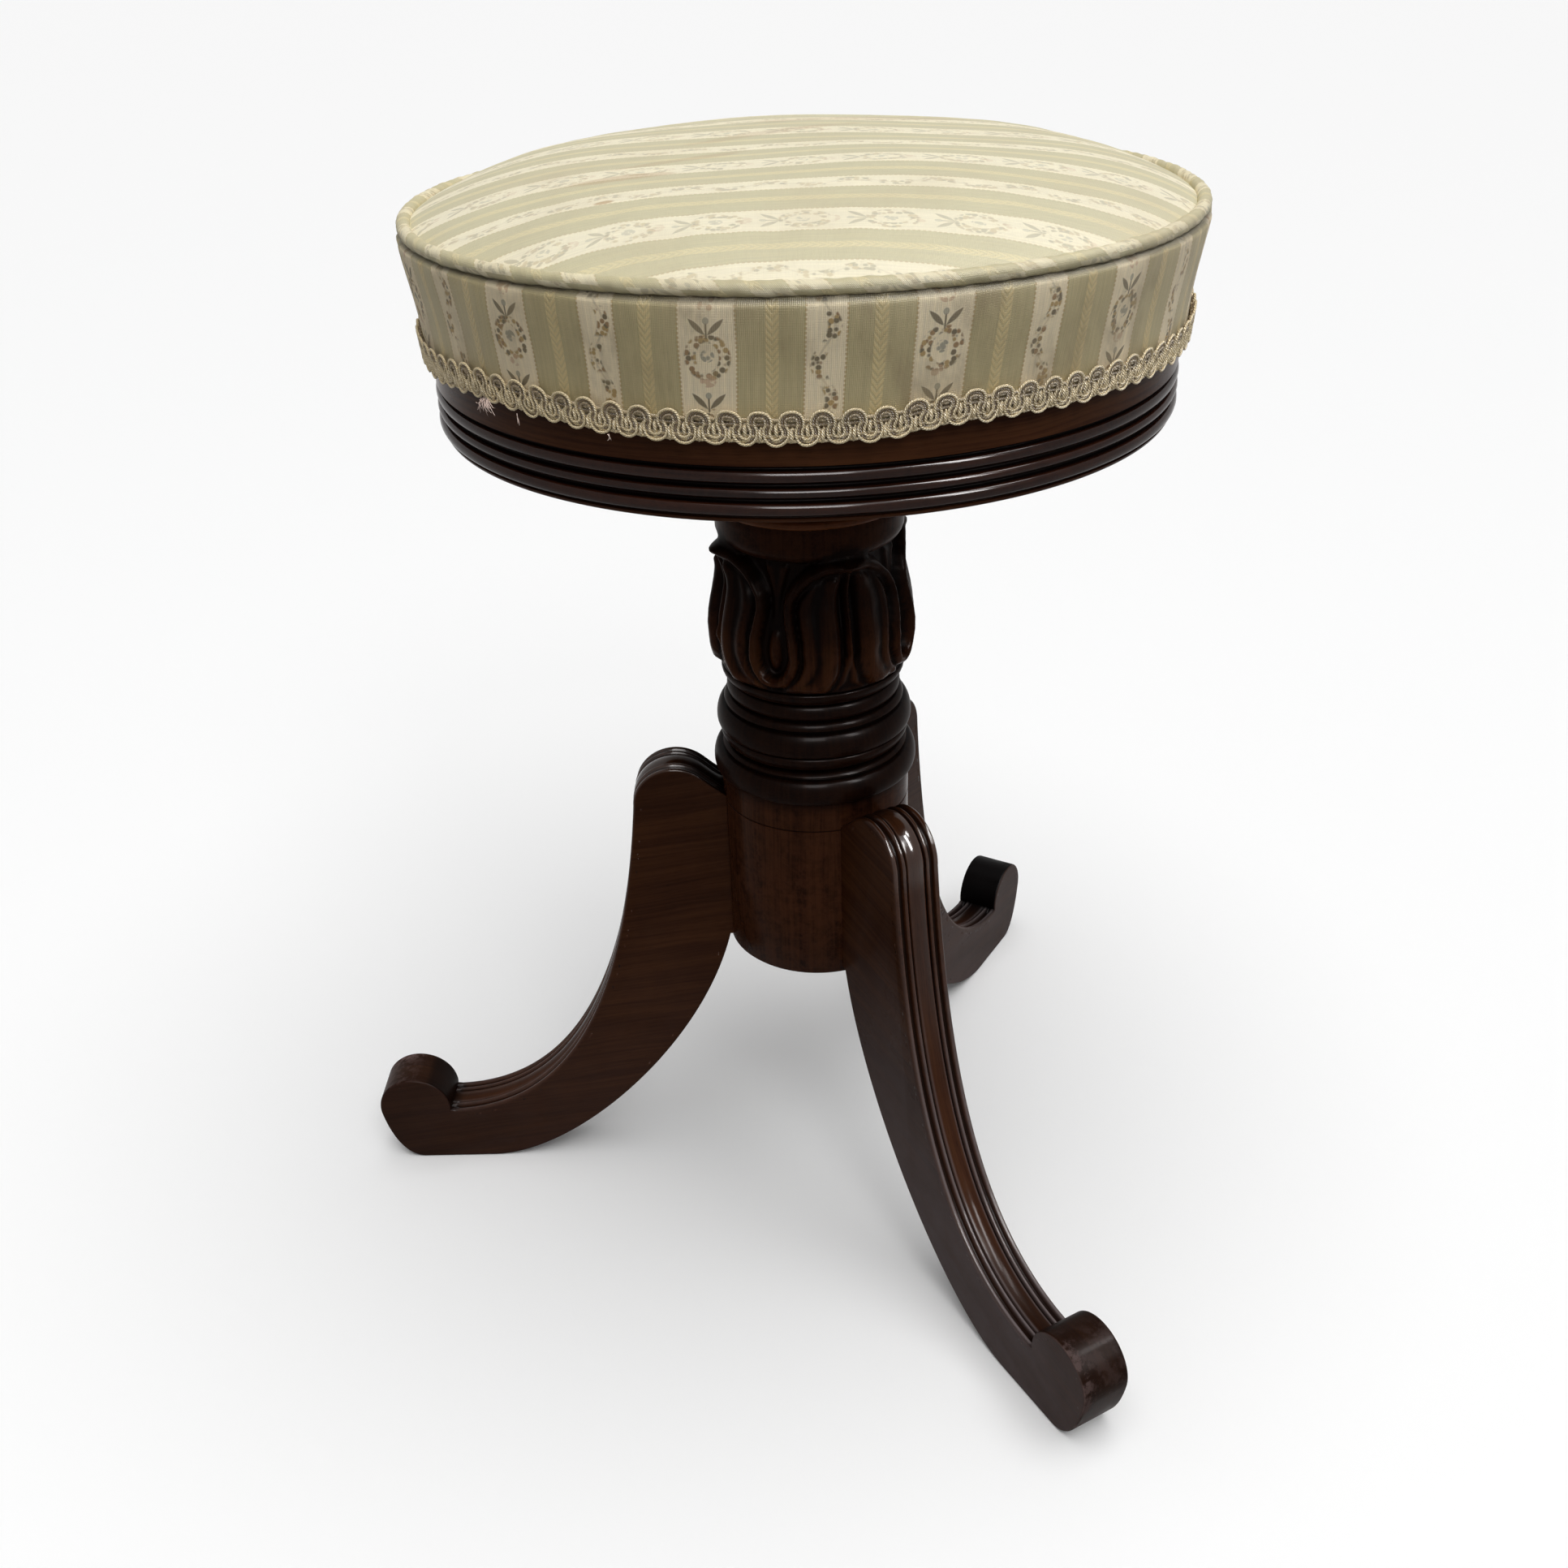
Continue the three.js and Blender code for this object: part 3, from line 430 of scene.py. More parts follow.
def makeWood(name, brown, specular, figure, bands=(), dustAndSheenLevel=False, paintedLightLift=(1, 1, 1, 1)):
    # bands are heights between which the wood is browner: from, to, strength and softness; a dusty wood is
    # dulled to grey where its dust value says, as dust and painted sheen; the lift multiplies the colour, to
    # paint light onto a part that sits in shade
    material, tree, shader = newMaterial(name, Specular_IOR_Level=specular, Coat_Roughness=0.14)
    place = pieceCoordinates(tree)
    height = splitVector(tree, place)[2]
    for low, high, strength, soft in bands:
        band = height.rise(low - soft, low + soft) * height.rise(high + soft, high - soft)
        brown = band * strength + brown
    terms = {key.capitalize(): pointValue(tree, key) for key in ("wear", "darkening", "scuff")}
    terms.update(Grain=pieceCoordinates(tree, "grain"), Place=place, Brown=brown, Figure=figure)
    outputs = placeGroup(tree, woodGroup, **terms)
    color, roughness = outputs["Color"], outputs["Roughness"]
    if dustAndSheenLevel:
        # dust and painted sheen: grey on the lower leg and pale lines along the beads
        dustAndSheen = pointValue(tree, "dustAndSheen") * noiseField(tree, place, 60, 3, 0.6).spread(0.6, 1.4)
        color = blendColor(tree, dustAndSheen, color, woodLook["dustAndSheen"])
        roughness = Field(tree, roughness) + dustAndSheen * 0.3
    # the lift paints light onto the colour
    feed(tree, shader["Base Color"], blendColor(tree, 1.0, color, paintedLightLift, "MULTIPLY"))
    feed(tree, shader["Roughness"], roughness)
    feed(tree, shader["Coat Weight"], pointValue(tree, "polish") * 0.5)  # what is left of the polish
    addBump(tree, shader["Normal"], outputs["Height"], 0.1, 0.0004)
    return material


# the brown band paints light onto the lower leaves
columnWood = makeWood("columnWood", 0.6, 0.015, 1.2, bands=((0.290, 0.306, 1.9, 0.007),))
# the boss's colour is lifted as painted light, for the light it catches under the rim
bossWood = makeWood("bossWood", 1.6, 0.03, 1.0, paintedLightLift=(1.6, 1.5, 1.3, 1))
legWood = makeWood("legWood", 0.95, 0.02, 0.6, dustAndSheenLevel=True)
rimBands = ((0.4235, 0.44, 1.15, 0.0004), (0.403, 0.4062, 1.8, 0.0004))
rimWood = makeWood("rimWood", 0.05, 0.02, 1.0, bands=rimBands)
print("wood ready")


columnSizes = {
    "steps": 400,
    "rowStep": 0.75,
    "nutRadius": 27.3,
    "nutZ": 355.7,
    "boreRadius": 18.3,
    "boreZ": 206,
    "members": [  # from z, to z, radius at each end, swell
        (137.5, 138.7, 42.4, 43.6, 0),
        (138.7, 216.2, 43.6, 43.6, 0),
        (216.2, 217.1, 43.6, 43.6, -0.5),
        (217.1, 230.4, 43.6, 43.6, 0),
        (230.4, 231.4, 43.2, 43.6, -1.4),
        (231.4, 243.0, 44.8, 43.9, 2.6),
        (243.0, 243.8, 43.2, 42.8, -0.9),
        (243.8, 245.6, 42.4, 40.6, 0.6),
        (245.6, 247.0, 39.4, 39.4, -0.9),
        (247.0, 253.5, 40.0, 42.0, 2.0),
        (253.5, 254.3, 41.8, 42.2, -1.0),
        (254.3, 265.3, 43.2, 41.6, 2.2),
        (265.3, 266.2, 41.2, 40.6, -1.0),
        (266.2, 269.7, 40.6, 39.2, 1.0),
        (269.7, 270.6, 38.2, 38.0, -0.9),
        (270.6, 277.3, 38.2, 37.6, 1.6),
        (277.3, 278.3, 37.0, 37.2, -0.9),
        (278.3, 284.2, 38.2, 40.6, 1.7),
        (284.2, 285.0, 40.4, 40.9, -0.8),
    ],
    "vase": [  # height and bare radius above the last member
        (285.0, 41.0), (290, 42.1), (295, 42.9), (300, 43.3), (306, 43.4), (312, 42.8), (317, 41.8),
        (322, 40.6), (327, 39.6), (332, 38.9), (338, 38.5), (344, 38.7), (347, 40.2), (349, 41.2),
        (352, 41.3), (359.2, 41.3), (360, 40.6),
    ],
    "paintedShade": [  # height, and how much painted shade darkens the wood there: the rings, upper leaves and neck in the seat's shade
        (224, 0), (232, 0.85), (285, 0.85), (288, 0.05), (300, 0.05), (318, 0.6), (328, 0.8), (345, 0.8),
        (348, 0.55),
    ],
    "polished": (230, 232, 284, 286),  # heights between which the rings keep their polish
    "leafTurn": 247,  # degrees, the axis of one tulip-shaped space
    "leafLow": 285.1,
    "leafHigh": 344.3,
    "tulipLow": 289.8,
    "millimetresPerDegree": math.radians(1) * 44,  # on the unrolled vase
    "border": [  # height, and angle of a leaf's border from that axis
        (289.8, 0), (290.3, 3), (292.2, 7), (295.5, 10), (301, 12.2), (310, 11.6), (318, 9.6), (324, 8.6),
        (329, 10), (334, 14.5), (339, 22), (342, 30), (343.5, 38), (344, 45),
    ],
    "borderHeight": 3.7,
    "borderWidth": 2.6,
    "flutes": [  # share of the way from border to midrib, and height
        (0, -1.6), (0.1, -1.6), (0.17, 0.6), (0.28, 2.0), (0.37, 1.6), (0.42, 1.0), (0.48, 1.6), (0.63, 3.2),
        (0.74, 2.7), (0.83, -0.8), (0.88, -3.6), (0.93, -3.6), (0.965, 0.4), (1, 1.6),
    ],
}


def borderDistance(m, z, sizes):
    # distance in millimetres on the unrolled vase from each point to the border's line
    line = np.array(sizes["border"], float)
    t = np.linspace(0, 1, 90)
    knots = np.linspace(0, 1, len(line))
    best = np.full(m.shape, 1e9)
    for pz, pm in zip(np.interp(t, knots, line[:, 0]), np.interp(t, knots, line[:, 1])):
        best = np.minimum(best, (z - pz) ** 2 + ((m - pm) * sizes["millimetresPerDegree"]) ** 2)
    return np.sqrt(best)


def leafRelief(angle, height):
    # raised border ribbon, fluted leaf outside it, bud and teardrop inside it, and the rolled tip
    sizes = columnSizes
    degrees = np.degrees(angle)[None, :] - sizes["leafTurn"]
    signed = (degrees + 45) % 90 - 45
    z = height[:, None] + 0 * signed
    m = np.abs(signed) + 0 * z
    fromRib = 45 - m
    line = np.array(sizes["border"], float)
    edge = np.interp(z, line[:, 0], line[:, 1])
    low, high, tulip = sizes["leafLow"], sizes["leafHigh"], sizes["tulipLow"]
    inLeaf = (z > low) & (z < high) & ((m > edge) | (z < tulip))
    inTulip = (z > tulip) & (z < high) & (m <= edge)
    distance = borderDistance(m, z, sizes)
    ribbon = np.clip(1 - (distance / sizes["borderWidth"]) ** 2, 0, 1) ** 0.55
    # flutes between the border and the midrib, the valley by the midrib closing towards the tip
    share = np.clip((m - edge) / np.maximum(45 - edge, 1e-3), 0, 1)
    flutes = np.array(sizes["flutes"], float)
    slant = share + 0.11 * np.clip((302 - z) / 16, 0, 1) ** 1.5 * np.sin(math.pi * share)
    leaf = np.interp(slant, flutes[:, 0], flutes[:, 1])
    crest = 0.5 + 1.6 * bell(fromRib * sizes["millimetresPerDegree"], 0, 1.4)
    leaf = mix(leaf, crest, smoothStep(z, 336, 343))
    # the midrib parts into two small feet low down, in a deep hollow
    split = np.interp(z, [284, 289, 296, 305], [11.0, 5.5, 3.0, 0])
    foot = bell(fromRib, split, 1.9) * smoothStep(z, 309, 303)
    hollow = np.exp(-((fromRib / np.maximum(split, 1)) ** 4)) * smoothStep(z, 307, 301)
    leaf = mix(leaf, -1.6, hollow) + 2.4 * foot
    base = smoothStep(z, 284.9, 287.6)
    relief = np.where(inLeaf, (leaf + 0.5) * base, 0)
    # inside the tulip: sunk ground, a teardrop low down and a small leaf above it
    drop = np.clip(1 - (m / 4.4) ** 2 - ((z - 304) / 10) ** 2, 0, 1) ** 0.7
    budHalf = np.interp(z, [313, 322, 330, 338, 343], [0.5, 2.0, 3.6, 6.6, 9.5])
    bud = smoothStep(m, budHalf + 1.2, budHalf - 2.6) * smoothStep(z, 312, 324) * smoothStep(z, 344, 341.5)
    spoon = 0.45 + 0.6 * np.clip(m / np.maximum(budHalf, 1e-3), 0, 1) ** 2
    relief = np.where(inTulip, -3.4 + 2.1 * drop + 2.9 * bud * spoon, relief)
    # a groove beside the border, and the border over it
    relief = relief - 1.4 * bell(distance, 3.7, 0.9) * inLeaf * base
    relief = np.where(ribbon > 0, np.maximum(relief, mix(relief, sizes["borderHeight"], ribbon)), relief)
    # tips roll out, and hang a little over the neck
    relief = relief + 4.4 * bell(fromRib, 0, 9.5) * smoothStep(z, 327, 343) * (z < 344.6)
    uneven = 0.18 * ripple(signed * 0.5 + 3 * np.floor((degrees + 45) / 90), z * 0.35, 5)
    relief = relief + uneven * ((z > 285.3) & (z < 346))
    return mix(relief, blurred(relief, 2, (False, True)), smoothStep(z, 285, 288))


def columnProfile(sizes):
    # the foot, the members as half ellipses between their ends, the vase, and the recess for the nut
    # with the bore under it
    bottom, top = sizes["members"][0][0], sizes["vase"][-1][0]
    rows = [np.array([[0, bottom], [15, bottom], [30, bottom]])]
    for low, high, r0, r1, swell in sizes["members"]:
        count = 3 if swell == 0 else max(4, int((high - low) / 0.8) + 3)
        rows.append(arcPoints((r0, low), (r1, high), swell, count))
    vase = np.array(sizes["vase"], float)
    fine = np.concatenate([np.arange(vase[0, 0], 345.4, sizes["rowStep"]), np.arange(346, 360.1, 1.75)])
    rows.append(np.stack([np.interp(fine, vase[:, 0], vase[:, 1]), fine], -1))
    nut, bore, nutZ, boreZ = sizes["nutRadius"], sizes["boreRadius"], sizes["nutZ"], sizes["boreZ"]
    rows.append(np.array([[nut, top], [nut, nutZ], [bore, nutZ], [bore, 300], [bore, boreZ], [0, boreZ]]))
    return np.concatenate(rows)


columnLine = columnProfile(columnSizes)
column = turnedPiece(
    "carved_column", columnLine, columnSizes["steps"], leafRelief, grainTurns=False, wearScale=0.4,
    polish=0.006 + 0.035 * plateau(columnLine[:, 1], *columnSizes["polished"]), paintedShade=columnSizes["paintedShade"],
)
column.data.materials.append(columnWood)
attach(column, "stand")
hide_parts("column")
print("column ready")


legSizes = {
    "thickness": 23.7,
    "inside": 41.4,
    "topZ": 218,
    "underZ": 140,
    "kneeCentre": (66.6, 213.5),
    "kneeRadius": 20,
    "shin": [(86.6, 213.5), (97.2, 109.5), (128.6, 32.5), (196.05, 31.5)],
    "calf": [(43.6, 140), (60.3, 72), (131, 0), (177, 0)],
    "scrollCentre": (214.6, 32.8),
    "scrollRadius": 18.6,
    "chin": [(232.9, 29.6), (231.2, 19.5), (226, 0.8), (214, 0)],
    "edgeRound": 1.1,
    "centreReed": 4.2,
    "quirk": 0.9,
    "quirkDepth": 2.2,
    "narrowBead": 2.0,
    "hollow": 2.3,
    "hollowDepth": 1.9,
    "scrollWallShade": (186, 196, 204, 213),  # x over which the scroll's inner wall is painted black as shade
    "dustAndSheenLines": [(3.7, 0.5, 0.5), (6.1, 0.7, 1.0), (10.4, 0.8, 1.0)],  # place across, width, share: grey lines of dust and painted sheen along the beads
}


def bezier(points, count):
    # a cubic curve from its four handles
    p = np.array(points, float)
    t = np.linspace(0, 1, count)[:, None]
    return (1 - t) ** 3 * p[0] + 3 * (1 - t) ** 2 * t * p[1] + 3 * (1 - t) * t**2 * p[2] + t**3 * p[3]


def arcAbout(centre, radius, start, end, count):
    # the centre plus the radius times cosine and sine, from start to end in degrees
    angle = np.radians(np.linspace(start, end, count))
    return np.stack([centre[0] + radius * np.cos(angle), centre[1] + radius * np.sin(angle)], -1)


def legLine(sizes):
    # the side outline: over the knee and down the shin, up the inner wall of the scroll, round it,
    # under the foot and back up the calf, with 1 where the upper face is reeded
    cx, cz = sizes["kneeCentre"]
    reach = math.hypot(cx - sizes["inside"], cz - sizes["topZ"])
    start = math.atan2(sizes["topZ"] - cz, sizes["inside"] - cx) - math.acos(sizes["kneeRadius"] / reach)
    upper = np.concatenate([
        [[sizes["inside"], sizes["topZ"]]],
        arcAbout((cx, cz), sizes["kneeRadius"], math.degrees(start), 0, 30),
        bezier(sizes["shin"], 90)[1:],
    ])
    scroll = arcAbout(sizes["scrollCentre"], sizes["scrollRadius"], 184, -10, 64)[1:]
    lower = np.concatenate([
        bezier(sizes["chin"], 24)[1:], [sizes["calf"][-1]], bezier(sizes["calf"][::-1], 60)[1:],
        [[sizes["inside"], sizes["underZ"]]],
    ])
    back = [[sizes["inside"], sizes["underZ"]], [sizes["inside"], sizes["topZ"]]]
    upper = resampled(upper, 1.6)
    line = np.concatenate([upper, resampled(scroll, 1.2), resampled(lower, 2.2), resampled(back, 8)[1:-1]])
    place = np.arange(len(upper))
    reeded = np.zeros(len(line))
    reeded[place] = smoothStep(place, 1, 6) * smoothStep(place[::-1], -1, 2)
    return line, reeded


def reedDepth(y, sizes):
    # depth below the face across a leg: centre reed, quirk, narrow bead, hollow and edge bead
    a = np.abs(y)
    c, q = sizes["centreReed"], sizes["quirk"]
    bead0, bead1 = c + q, c + q + sizes["narrowBead"]
    cove1 = bead1 + sizes["hollow"]
    half = sizes["thickness"] / 2
    centre = 1.0 * (a / c) ** 2
    quirk = sizes["quirkDepth"] * np.sin(math.pi * np.clip((a - c + 0.15) / (q + 0.3), 0, 1))
    bead = 0.1 + 1.0 * (2 * (a - bead0) / (bead1 - bead0) - 1) ** 2
    share = 2 * (a - bead1) / (cove1 - bead1) - 1
    cove = 0.7 + sizes["hollowDepth"] * np.sqrt(np.clip(1 - share**2, 0, 1))
    last = 0.35 + 0.5 * np.abs(2 * (a - cove1) / (half - cove1) - 1) ** 2
    return np.select([a < c, a < bead0, a < bead1, a < cove1], [centre, 1 + quirk * 0.6, bead, cove], last)


def legSection(sizes):
    # across a leg: the sideways places and how far the rounded edges fall there
    half, e = sizes["thickness"] / 2, sizes["edgeRound"]
    flat = np.linspace(-half + e, half - e, 69)
    quarter = np.radians(np.linspace(90, 0, 6))[1:]
    y = np.concatenate([(-half + e - e * np.cos(quarter))[::-1], flat, half - e + e * np.cos(quarter)])
    return y, np.concatenate([(e - e * np.sin(quarter))[::-1], 0 * flat, e - e * np.sin(quarter)])


def outlineNormals(line):
    # outward normals of an outline, stretched at its corners
    ahead, behind = unit(np.roll(line, -1, 0) - line), unit(line - np.roll(line, 1, 0))
    normal = np.stack([-(ahead + behind)[:, 1], (ahead + behind)[:, 0]], -1)
    normal /= np.maximum(np.linalg.norm(normal, axis=1, keepdims=True), 1e-6)
    square = np.stack([-ahead[:, 1], ahead[:, 0]], -1)
    return normal / np.clip((normal * square).sum(1, keepdims=True), 0.6, 1)


def legWear(x, y, z, depth, reeded, dustAndSheenLevel, dark, sizes):
    # the named values of each point: masks of where it lies, in millimetres, and how far it stands out
    away = np.abs(y)
    out = -depth + blurred(depth, 10, (True, False))
    face = smoothStep(sizes["thickness"] / 2 - away, 0.05, 0.6)  # 1 on the edge faces, 0 on the two sides
    wear = np.clip(out / 0.35, 0, 1) * face
    darkening = np.clip(-out / 0.5, 0, 1) * face
    # the scroll's inner wall is blackened as painted shade; the end of the shin, the knee's root and the toe
    # are darkened
    wallShade = plateau(x, *sizes["scrollWallShade"]) * smoothStep(z, 22, 30)
    shin = dark * smoothStep(x, 130, 180) * face + 0.5 * smoothStep(x, 165, 212) * (1 - dustAndSheenLevel)
    root = smoothStep(x, 72, 55) * smoothStep(z, 190, 208)
    for mask in (0.95 * wallShade * face, shin, 0.95 * root * face, 0.4 * smoothStep(x, 198, 214) * face):
        darkening = np.maximum(darkening, mask)
    # the toe is scuffed, most along its outer arris
    toe = smoothStep(x, 205, 222) * smoothStep(z, 1, 8) * face
    scuff = toe * (0.3 + 1.0 * smoothStep(-y, 4, 11))
    # dust and painted sheen grey the lower leg: the sides, and lines along the beads that stand in for
    # reflections
    lines = sum(share * bell(away, at, width) for at, width, share in sizes["dustAndSheenLines"])
    lines = lines * (smoothStep(z, 190, 90) + 0.4 * smoothStep(z, 130, 60))
    low = smoothStep(z, 165, 25) * (1 - 0.35 * smoothStep(x, 190, 212))
    dustAndSheen = dustAndSheenLevel * np.clip(low * (1 - face) + lines * reeded * face, 0, 1.4)
    # polish is left on the reeds, most on the knee, and low down only outside the centre reed
    lit = mix(mix(0.2, 1.2, smoothStep(away, 3.2, 4.2)), 1, smoothStep(z, 110, 170))
    knee = 1 + 1.5 * smoothStep(z, 203, 213) * smoothStep(x, 64, 74)
    polish = np.clip(reeded * face * (1 - darkening), 0, 1) * 0.5 * lit * knee + 0.008
    polish = polish + 0.05 * toe * (1 - np.clip(scuff, 0, 1))
    return {"wear": wear, "darkening": darkening, "scuff": scuff, "polish": polish, "dustAndSheen": dustAndSheen}


def legPiece(name, turnAngle, dustAndSheenLevel, dark, sizes):
    # the outline carried across the leg's thickness, sunk by reedDepth where it is reeded
    line, reeded = legLine(sizes)
    half = sizes["thickness"] / 2
    y, fall = legSection(sizes)
    reeded = reeded[:, None]
    depth = fall[None, :] + reeded * reedDepth(y, sizes)[None, :]
    # insets that carry the rounded edge on into the side faces, none at the hidden end in the column
    inset = np.array([0.4, 1.2, 2.4]) * smoothStep(line[:, :1], sizes["inside"], sizes["inside"] + 5)
    depth = np.concatenate([depth[:, :1] + inset[:, ::-1], depth, depth[:, -1:] + inset], 1)
    y = np.concatenate([[-half] * 3, y, [half] * 3])[None, :] + 0 * depth
    normal = outlineNormals(line)
    x = line[:, :1] - normal[:, :1] * depth
    z = line[:, 1:] - normal[:, 1:] * depth
    grid = np.arange(x.size).reshape(x.shape)
    wrapped = np.roll(grid, -1, 0)
    faces = np.stack([grid[:, :-1], grid[:, 1:], wrapped[:, 1:], wrapped[:, :-1]], -1).reshape(-1, 4)
    # on the reeded face and round the scroll the grain follows the leg
    run = np.cumsum(np.linalg.norm(np.roll(line, -1, 0) - line, axis=1))[:, None] + 0 * x
    corners = np.stack([run, y + 300], -1).reshape(-1, 2)[faces].reshape(-1, 2)
    placed = np.stack([*turnedBy(x, y, turnAngle), z], -1)
    piece = pieceFrom(name, placed, faces, corners, legWear(x, y, z, depth, reeded, dustAndSheenLevel, dark, sizes), 55)
    closeSides(piece)
    sideGrain(piece, turnAngle)
    piece.data.materials.append(legWood)
    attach(piece, "stand")
    return piece


def closeSides(piece):
    # fills the two open side faces with triangles
    work = bmesh.new()
    work.from_mesh(piece.data)
    edges = [edge for edge in work.edges if edge.is_boundary]
    filled = bmesh.ops.holes_fill(work, edges=edges, sides=0)["faces"]
    for face in bmesh.ops.triangulate(work, faces=filled, ngon_method="EAR_CLIP")["faces"]:
        face.smooth = True
    bmesh.ops.recalc_face_normals(work, faces=work.faces)
    work.to_mesh(piece.data)
    work.free()


def readValues(items, key, width, kind=np.float32):
    # one row for each item, width numbers in it
    values = np.empty(len(items) * width, kind)
    items.foreach_get(key, values)
    return values.reshape(-1, width)


def sideGrain(piece, turnAngle):
    # straight grain of a board sawn along the leg, for the faces that look sideways: the leg's own
    # plane turned by eight degrees
    mesh = piece.data
    place = readValues(mesh.vertices, "co", 3) - [axisX, 0, 0]
    x, y = turnedBy(place[:, 0], place[:, 1], -turnAngle)
    along, across = turnedBy(x, place[:, 2], math.radians(8))
    grain = np.stack([along, across + y * 0.9], -1)
    out = [-math.sin(turnAngle), math.cos(turnAngle), 0]
    sideways = np.abs(readValues(mesh.polygons, "normal", 3) @ out) > 0.9
    pick = np.repeat(sideways, readValues(mesh.polygons, "loop_total", 1, np.int32)[:, 0])
    corner = readValues(mesh.loops, "vertex_index", 1, np.int32)[:, 0]
    layer = mesh.uv_layers["grain"].data
    table = readValues(layer, "uv", 2)
    table[pick] = grain[corner[pick]]
    layer.foreach_set("uv", table.ravel())


for nodeName, degrees, dustAndSheenLevel, dark in (  # direction, dust and painted sheen on the sides, blackness before the scroll
    ("leg_left", 180, 0.1, 0.2), ("leg_front", 300, 0.65, 0.65), ("leg_back", 60, 0.3, 0.85),
):
    leg = legPiece("reeded_" + nodeName, math.radians(degrees), dustAndSheenLevel, dark, legSizes)
    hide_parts(nodeName)
print("legs ready")


rimSizes = {
    "steps": 480,
    "members": [  # from z, to z, radius at each end, swell
        (405.6, 406.8, 149.4, 149.4, -0.9),
        (406.8, 411.0, 149.7, 149.7, 1.3),
        (411.0, 413.1, 149.4, 149.4, -1.6),
        (413.1, 416.3, 149.7, 149.7, 1.2),
        (416.3, 418.4, 149.4, 149.4, -1.6),
        (418.4, 422.5, 149.7, 149.7, 1.2),
        (422.5, 424.5, 149.6, 149.9, -1.5),
        (424.5, 436.8, 150.5, 150.5, 0),
        (436.8, 438.0, 150.4, 149.6, 0.2),
    ],
    "foot": ((147.9, 405.6), 1.6),  # centre and radius of the rounded lower edge
    "bottomZ": 404,
    "boardRadius": 130,
    "rebateZ": 418,
    "insideRadius": 118,
    "polished": (406, 407, 423, 424.5),
}


def rimProfile(sizes):
    # the underside, the rounded edge, the reeds as half ellipses, and the rebate for the board
    inside, board = sizes["insideRadius"], sizes["boardRadius"]
    under, rebate, top = sizes["bottomZ"], sizes["rebateZ"], sizes["members"][-1][1]
    rows = [np.array([[inside, under], [board, under]]), arcAbout(*sizes["foot"], -90, 0, 6)]
    for z0, z1, r0, r1, swell in sizes["members"]:
        rows.append(arcPoints((r0, z0), (r1, z1), swell, 4 if swell == 0 else 10)[:-1])
    rows.append(np.array([[149.6, top], [140, top], [board, top], [board, rebate], [inside, rebate]]))
    return np.concatenate(rows)


rimLine = rimProfile(rimSizes)
rim = turnedPiece(
    "reeded_rim", rimLine, rimSizes["steps"], closed=True, wearScale=0.3, worn=0.2,
    polish=0.01 + 0.42 * plateau(rimLine[:, 1], *rimSizes["polished"]),
)
rim.data.materials.append(rimWood)
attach(rim, "seat")
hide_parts("seat_rim")

bossSizes = {
    "steps": 256,
    "holeRadius": 14,
    "bottomZ": 360.3,
    "bead": ((41.6, 360.3), (42.0, 364.2), 1.8),  # from, to, swell
    "fillet": [(41.6, 364.6), (41.7, 365.2)],
    "flare": [(42.4, 366), (42.6, 386), (50, 400), (69.4, 404.2)],
    "topRadius": 70,
    "topZ": 417.9,
    "plateRadius": 35.3,
    "plateZ": 412.8,
}


def bossProfile(sizes):
    # the bead, the flare up to the rim, and the recess for the screw's plate
    hole, low, top = sizes["holeRadius"], sizes["bottomZ"], sizes["topZ"]
    plate, radius = sizes["plateRadius"], sizes["topRadius"]
    return np.concatenate([
        [[hole, low], [30, low]], arcPoints(*sizes["bead"], 10), sizes["fillet"], bezier(sizes["flare"], 26),
        arcPoints(sizes["flare"][-1], (radius, 408), 0.6, 6),
        [[radius, top], [plate, top], [plate, sizes["plateZ"]], [hole, sizes["plateZ"]]],
    ])


boss = turnedPiece("turned_boss", bossProfile(bossSizes), bossSizes["steps"], closed=True)
boss.data.materials.append(bossWood)
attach(boss, "seat")
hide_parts("seat_boss")
print("rim and boss ready")


seatSizes = {
    "braidFoot": [  # azimuth and height of the braid's lower edge
        (-190, 433.4), (-168, 433.8), (-150, 434.2), (-141, 436.2), (-130, 435.3), (-119, 433.8),
        (-109, 432.7), (-88, 432.6), (-80, 432.9), (-75, 434.6), (-70, 435.5), (-60, 435.0), (-35, 433.6),
        (0, 434.4), (40, 433.2), (80, 434.6), (120, 433.0), (150, 433.9), (170, 433.4),
    ],
    "pipingRadius": 155,
    "pipingZ": 484,
    "cordRadius": 2.6,
    "crown": 22,
    "crownPower": 3.2,
    "crownEdge": 0.85,
    "footRadius": 152.3,
    "clothRadius": 154.5,  # of the circle that is the border's length
    "boardTop": 438.6,
    "rimTop": 438,
    "bulge": 2.2,
    "borderPitch": 75.6,  # of the stripes round the border
    "topPitch": 65.2,  # and across the top, where the cloth is seen stretched
    "borderRepeat": 25.1,  # of the flowers along a stripe
    "topRepeat": 29.0,
    "frontStripe": -74.05,  # azimuth of the middle of a wide stripe
}
stripeStart = math.radians(seatSizes["frontStripe"]) % (2 * math.pi) * seatSizes["clothRadius"]


def crownHeight(radius, sizes):
    # a dome: one less a power of the radius's share, to a power, times the crown
    share = np.clip(radius / (sizes["pipingRadius"] - sizes["cordRadius"]), 0, 1)
    return sizes["pipingZ"] + sizes["crown"] * (1 - share ** sizes["crownPower"]) ** sizes["crownEdge"]


